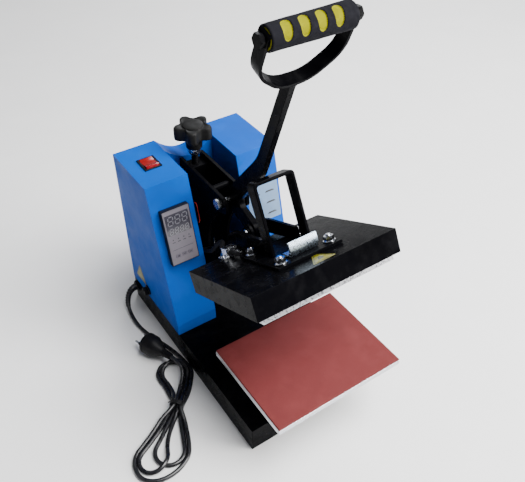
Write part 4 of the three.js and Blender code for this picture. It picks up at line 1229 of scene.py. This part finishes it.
# ---------------------------------------------------------------- arm
def add_arm_details():
    """Mounting studs with their nuts, the cover's sticker, the clamp's screws."""
    top = MOUNT_TOP / MM
    for row, y in (("front", -STUD_REACH), ("back", STUD_REACH)):
        for side, x in (("left", -STUD_REACH), ("right", STUD_REACH)):
            shank = lathe("shank", [(0, 146), (4, 146), (4, top - 1.5), (0, top - 1.5)], 24)
            stud = thread(4, top - 2, top + 11, 1.25, 0.65)
            nut = hexagon(7.5, top + 1.9, top + 8.5, 3.9)
            mesh = join_meshes("stud", [shank, stud, nut, washer(9, 4.2, top + 0.3, top + 1.9)])
            matrix = ON_ARM @ place(x, MOUNT_Y / MM + y, 0)
            node = f"plate_bolt_{row}_{side}"
            part(f"mount_stud_{row}_{side}", mesh, "chrome", "arm", matrix, 30, node)
    on_cover = ON_ARM @ Matrix.Translation((0, 0, PLATEN_TOP))
    triangle = [(-16.7, -231.4), (21.4, -229.6), (4.9, -194.2)]
    for name, share, thickness, look in (
        ("cover_sticker", 1.0, 0.15, LABEL_YELLOW), ("cover_sticker_edge", 0.86, 0.2, MARK_BLACK),
        ("cover_sticker_field", 0.78, 0.25, LABEL_YELLOW), ("cover_sticker_mark", 0.3, 0.3, MARK_BLACK),
    ):
        corners = rounded(scaled(triangle, share), 2.5)
        plate_on(name, corners, thickness, on_cover, look, "arm", "black_metal")
    outward = (ON_ARM.to_3x3() @ Vector((0, 0, 1))).normalized()
    for k, x in enumerate((-63.5, -38.5)):
        pan_head(f"clamp_screw_{k}", ON_ARM @ at(x, -64, 169.9), outward, "arm", 2.6, "zinc")


def add_heater_cable():
    """Sleeved cable from the clamp back to the left tower, laid with the arm open."""
    on_arm = (
        (-51, -90, 173.4), (-51, -64, 174.4), (-51, -40, 175.4), (-44, -30, 180), (-38.6, 0, 172),
        (-38, 40, 153), (-37.8, 80, 149),
    )
    on_frame = ((-38, 120, 156), (-40.5, 129.6, 150.5), (-45.2, 130.6, 148.7))
    line = spline([ON_ARM @ at(*p) for p in on_arm] + [at(*p) for p in on_frame], 3 * MM)
    radii = [(3.8 if 3 < k < len(line) - 1 else 3.3) * MM for k in range(len(line))]
    sleeve = sweep("sleeve", line, radii, 14)
    cable = part("heater_cable_sleeve", sleeve, "cable_sleeve", None, None, 35, "heater_cable")
    near, far = at(0, 128, 150), ON_ARM @ at(0, 75, 149)
    tuple(near)
    tuple(far)
    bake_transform(cable)


# ---------------------------------------------------------------- hand lever
def add_grip():
    """Two-layer foam sleeve, a little thicker to the right: a charcoal skin with four finger hollows
    that show the yellow layer."""
    half, left_radius, right_radius = 55.7, 14.7, 16.0
    rim = 1.6  # rounding of both ends
    steps, stations = 240, 260
    marks = [-35.5 + 21.8 * k for k in range(4)]
    middle, reach, width = math.radians(141), math.radians(48), 6.1
    flat_ends = ((0.6, 5.3), (0.6, 7.6), (0.6, 9.9), (0.1, 10.2), (0, 12))  # depth and radius

    def hollow(x, turn):
        """1 inside a finger hollow, 0 outside, with a short slope between."""
        away = (turn - middle + math.pi) % (2 * math.pi) - math.pi
        best = 0.0
        for centre in marks:
            taper = 1 - 0.14 * (away / reach)
            along = abs((x - centre + 1.2 * away) / (width * taper)) ** 2.6
            d = (along + abs(away / reach) ** 3) ** (1 / 2.6)
            best = max(best, min(1.0, max(0.0, (1.10 - d) / 0.2)))
        return best

    bm = bmesh.new()
    rings, shown = [], []

    def add_ring(x, r, share=1.0):
        row, marked = [], []
        for i in range(steps):
            turn = 2 * math.pi * i / steps
            inside = hollow(x, turn) * share
            uneven = 0.16 * noise.noise(Vector((x * 0.09, math.cos(turn) * 1.3, math.sin(turn) * 1.3)))
            depth = 1.7 * inside ** 1.4
            out = r + uneven * (1 if r > 12.1 else 0) - depth
            row.append(bm.verts.new(GRIP + at(x, out * math.cos(turn), out * math.sin(turn))))
            marked.append(inside)
        rings.append(row)
        shown.append(marked)

    for depth, r in flat_ends:
        add_ring(-half + depth, r, 0)
    for k in range(5):
        bend = math.pi / 2 * k / 4
        add_ring(-half + rim - rim * math.cos(bend), left_radius - rim + rim * math.sin(bend), 0)
    for k in range(5, stations - 4):
        x = -half + 2 * half * k / stations
        add_ring(x, left_radius + (right_radius - left_radius) * ((x + half) / (2 * half)))
    for k in range(5):
        bend = math.pi / 2 * (1 - k / 4)
        add_ring(half - rim + rim * math.cos(bend), right_radius - rim + rim * math.sin(bend), 0)
    for depth, r in reversed(flat_ends):
        add_ring(half - depth, r, 0)
    count = len(rings)
    for n in range(count):
        after = (n + 1) % count
        end_ring = n in (3, count - 5)
        for i in range(steps):
            j = (i + 1) % steps
            face = bm.faces.new((rings[n][i], rings[n][j], rings[after][j], rings[after][i]))
            deep = min(shown[n][i], shown[n][j], shown[after][i], shown[after][j]) > 0.45
            face.material_index = 1 if end_ring or deep else 0
    looks = [LOOKS["foam"], FOAM_YELLOW]
    grip = part("grip_foam", mesh_of(bm, "grip_foam"), "foam", "lever", None, 50, "foam_grip", look=looks)


def add_weld_beads():
    """Weld fillet where the bow meets the lever bar."""
    foot = Matrix.Translation(BOW_FOOT) @ turned(HANDLE_TILT, "X")
    rings = []
    for i in range(72):
        turn = 2 * math.pi * i / 72
        x = 5.6 * math.copysign(abs(math.cos(turn)) ** 0.5, math.cos(turn))
        z = 8.0 * math.copysign(abs(math.sin(turn)) ** 0.5, math.sin(turn))
        thick = 1.7 + 0.25 * math.sin(turn * 26)
        ring = []
        for k in range(8):
            c = 2 * math.pi * k / 8
            rise = thick * math.cos(c) * math.copysign(0.8, z)
            ring.append(at(x * (1 + 0.03 * thick * math.cos(c)), 3.0 + thick * math.sin(c) * 0.9, z + rise))
        rings.append(ring)
    bead = ring_mesh("weld", rings, loop_rings=True)
    part("bow_weld", bead, "black_metal", "lever", foot, 70)


# ---------------------------------------------------------------- the scene
def add_floor():
    bm = bmesh.new()
    bmesh.ops.create_grid(bm, x_segments=2, y_segments=2, size=12)
    floor = finish_piece("floor", mesh_of(bm, "floor"), studio_floor(), None)


add_camera()
add_cord()
add_floor()
add_world(0.2)
add_light("key", (2.1, -1.9, 1.3), (0, 0, 0.2), (1.5, 1.2), 125, (1.0, 0.98, 0.95))
add_light("top", (0.9, -1.0, 2.6), (0.1, 0, 0), (2.0, 2.0), 240)
add_light("rim", (1.7, 1.9, 1.5), (0, 0, 0.3), (1.2, 1.2), 30, (0.95, 0.97, 1.0))
add_refined()
add_pad()
add_labels()
add_display()
add_key_marks()
add_rocker()
add_fittings()
add_pins()
add_spring()
add_knob()
add_arm_details()
add_heater_cable()
add_grip()
add_weld_beads()
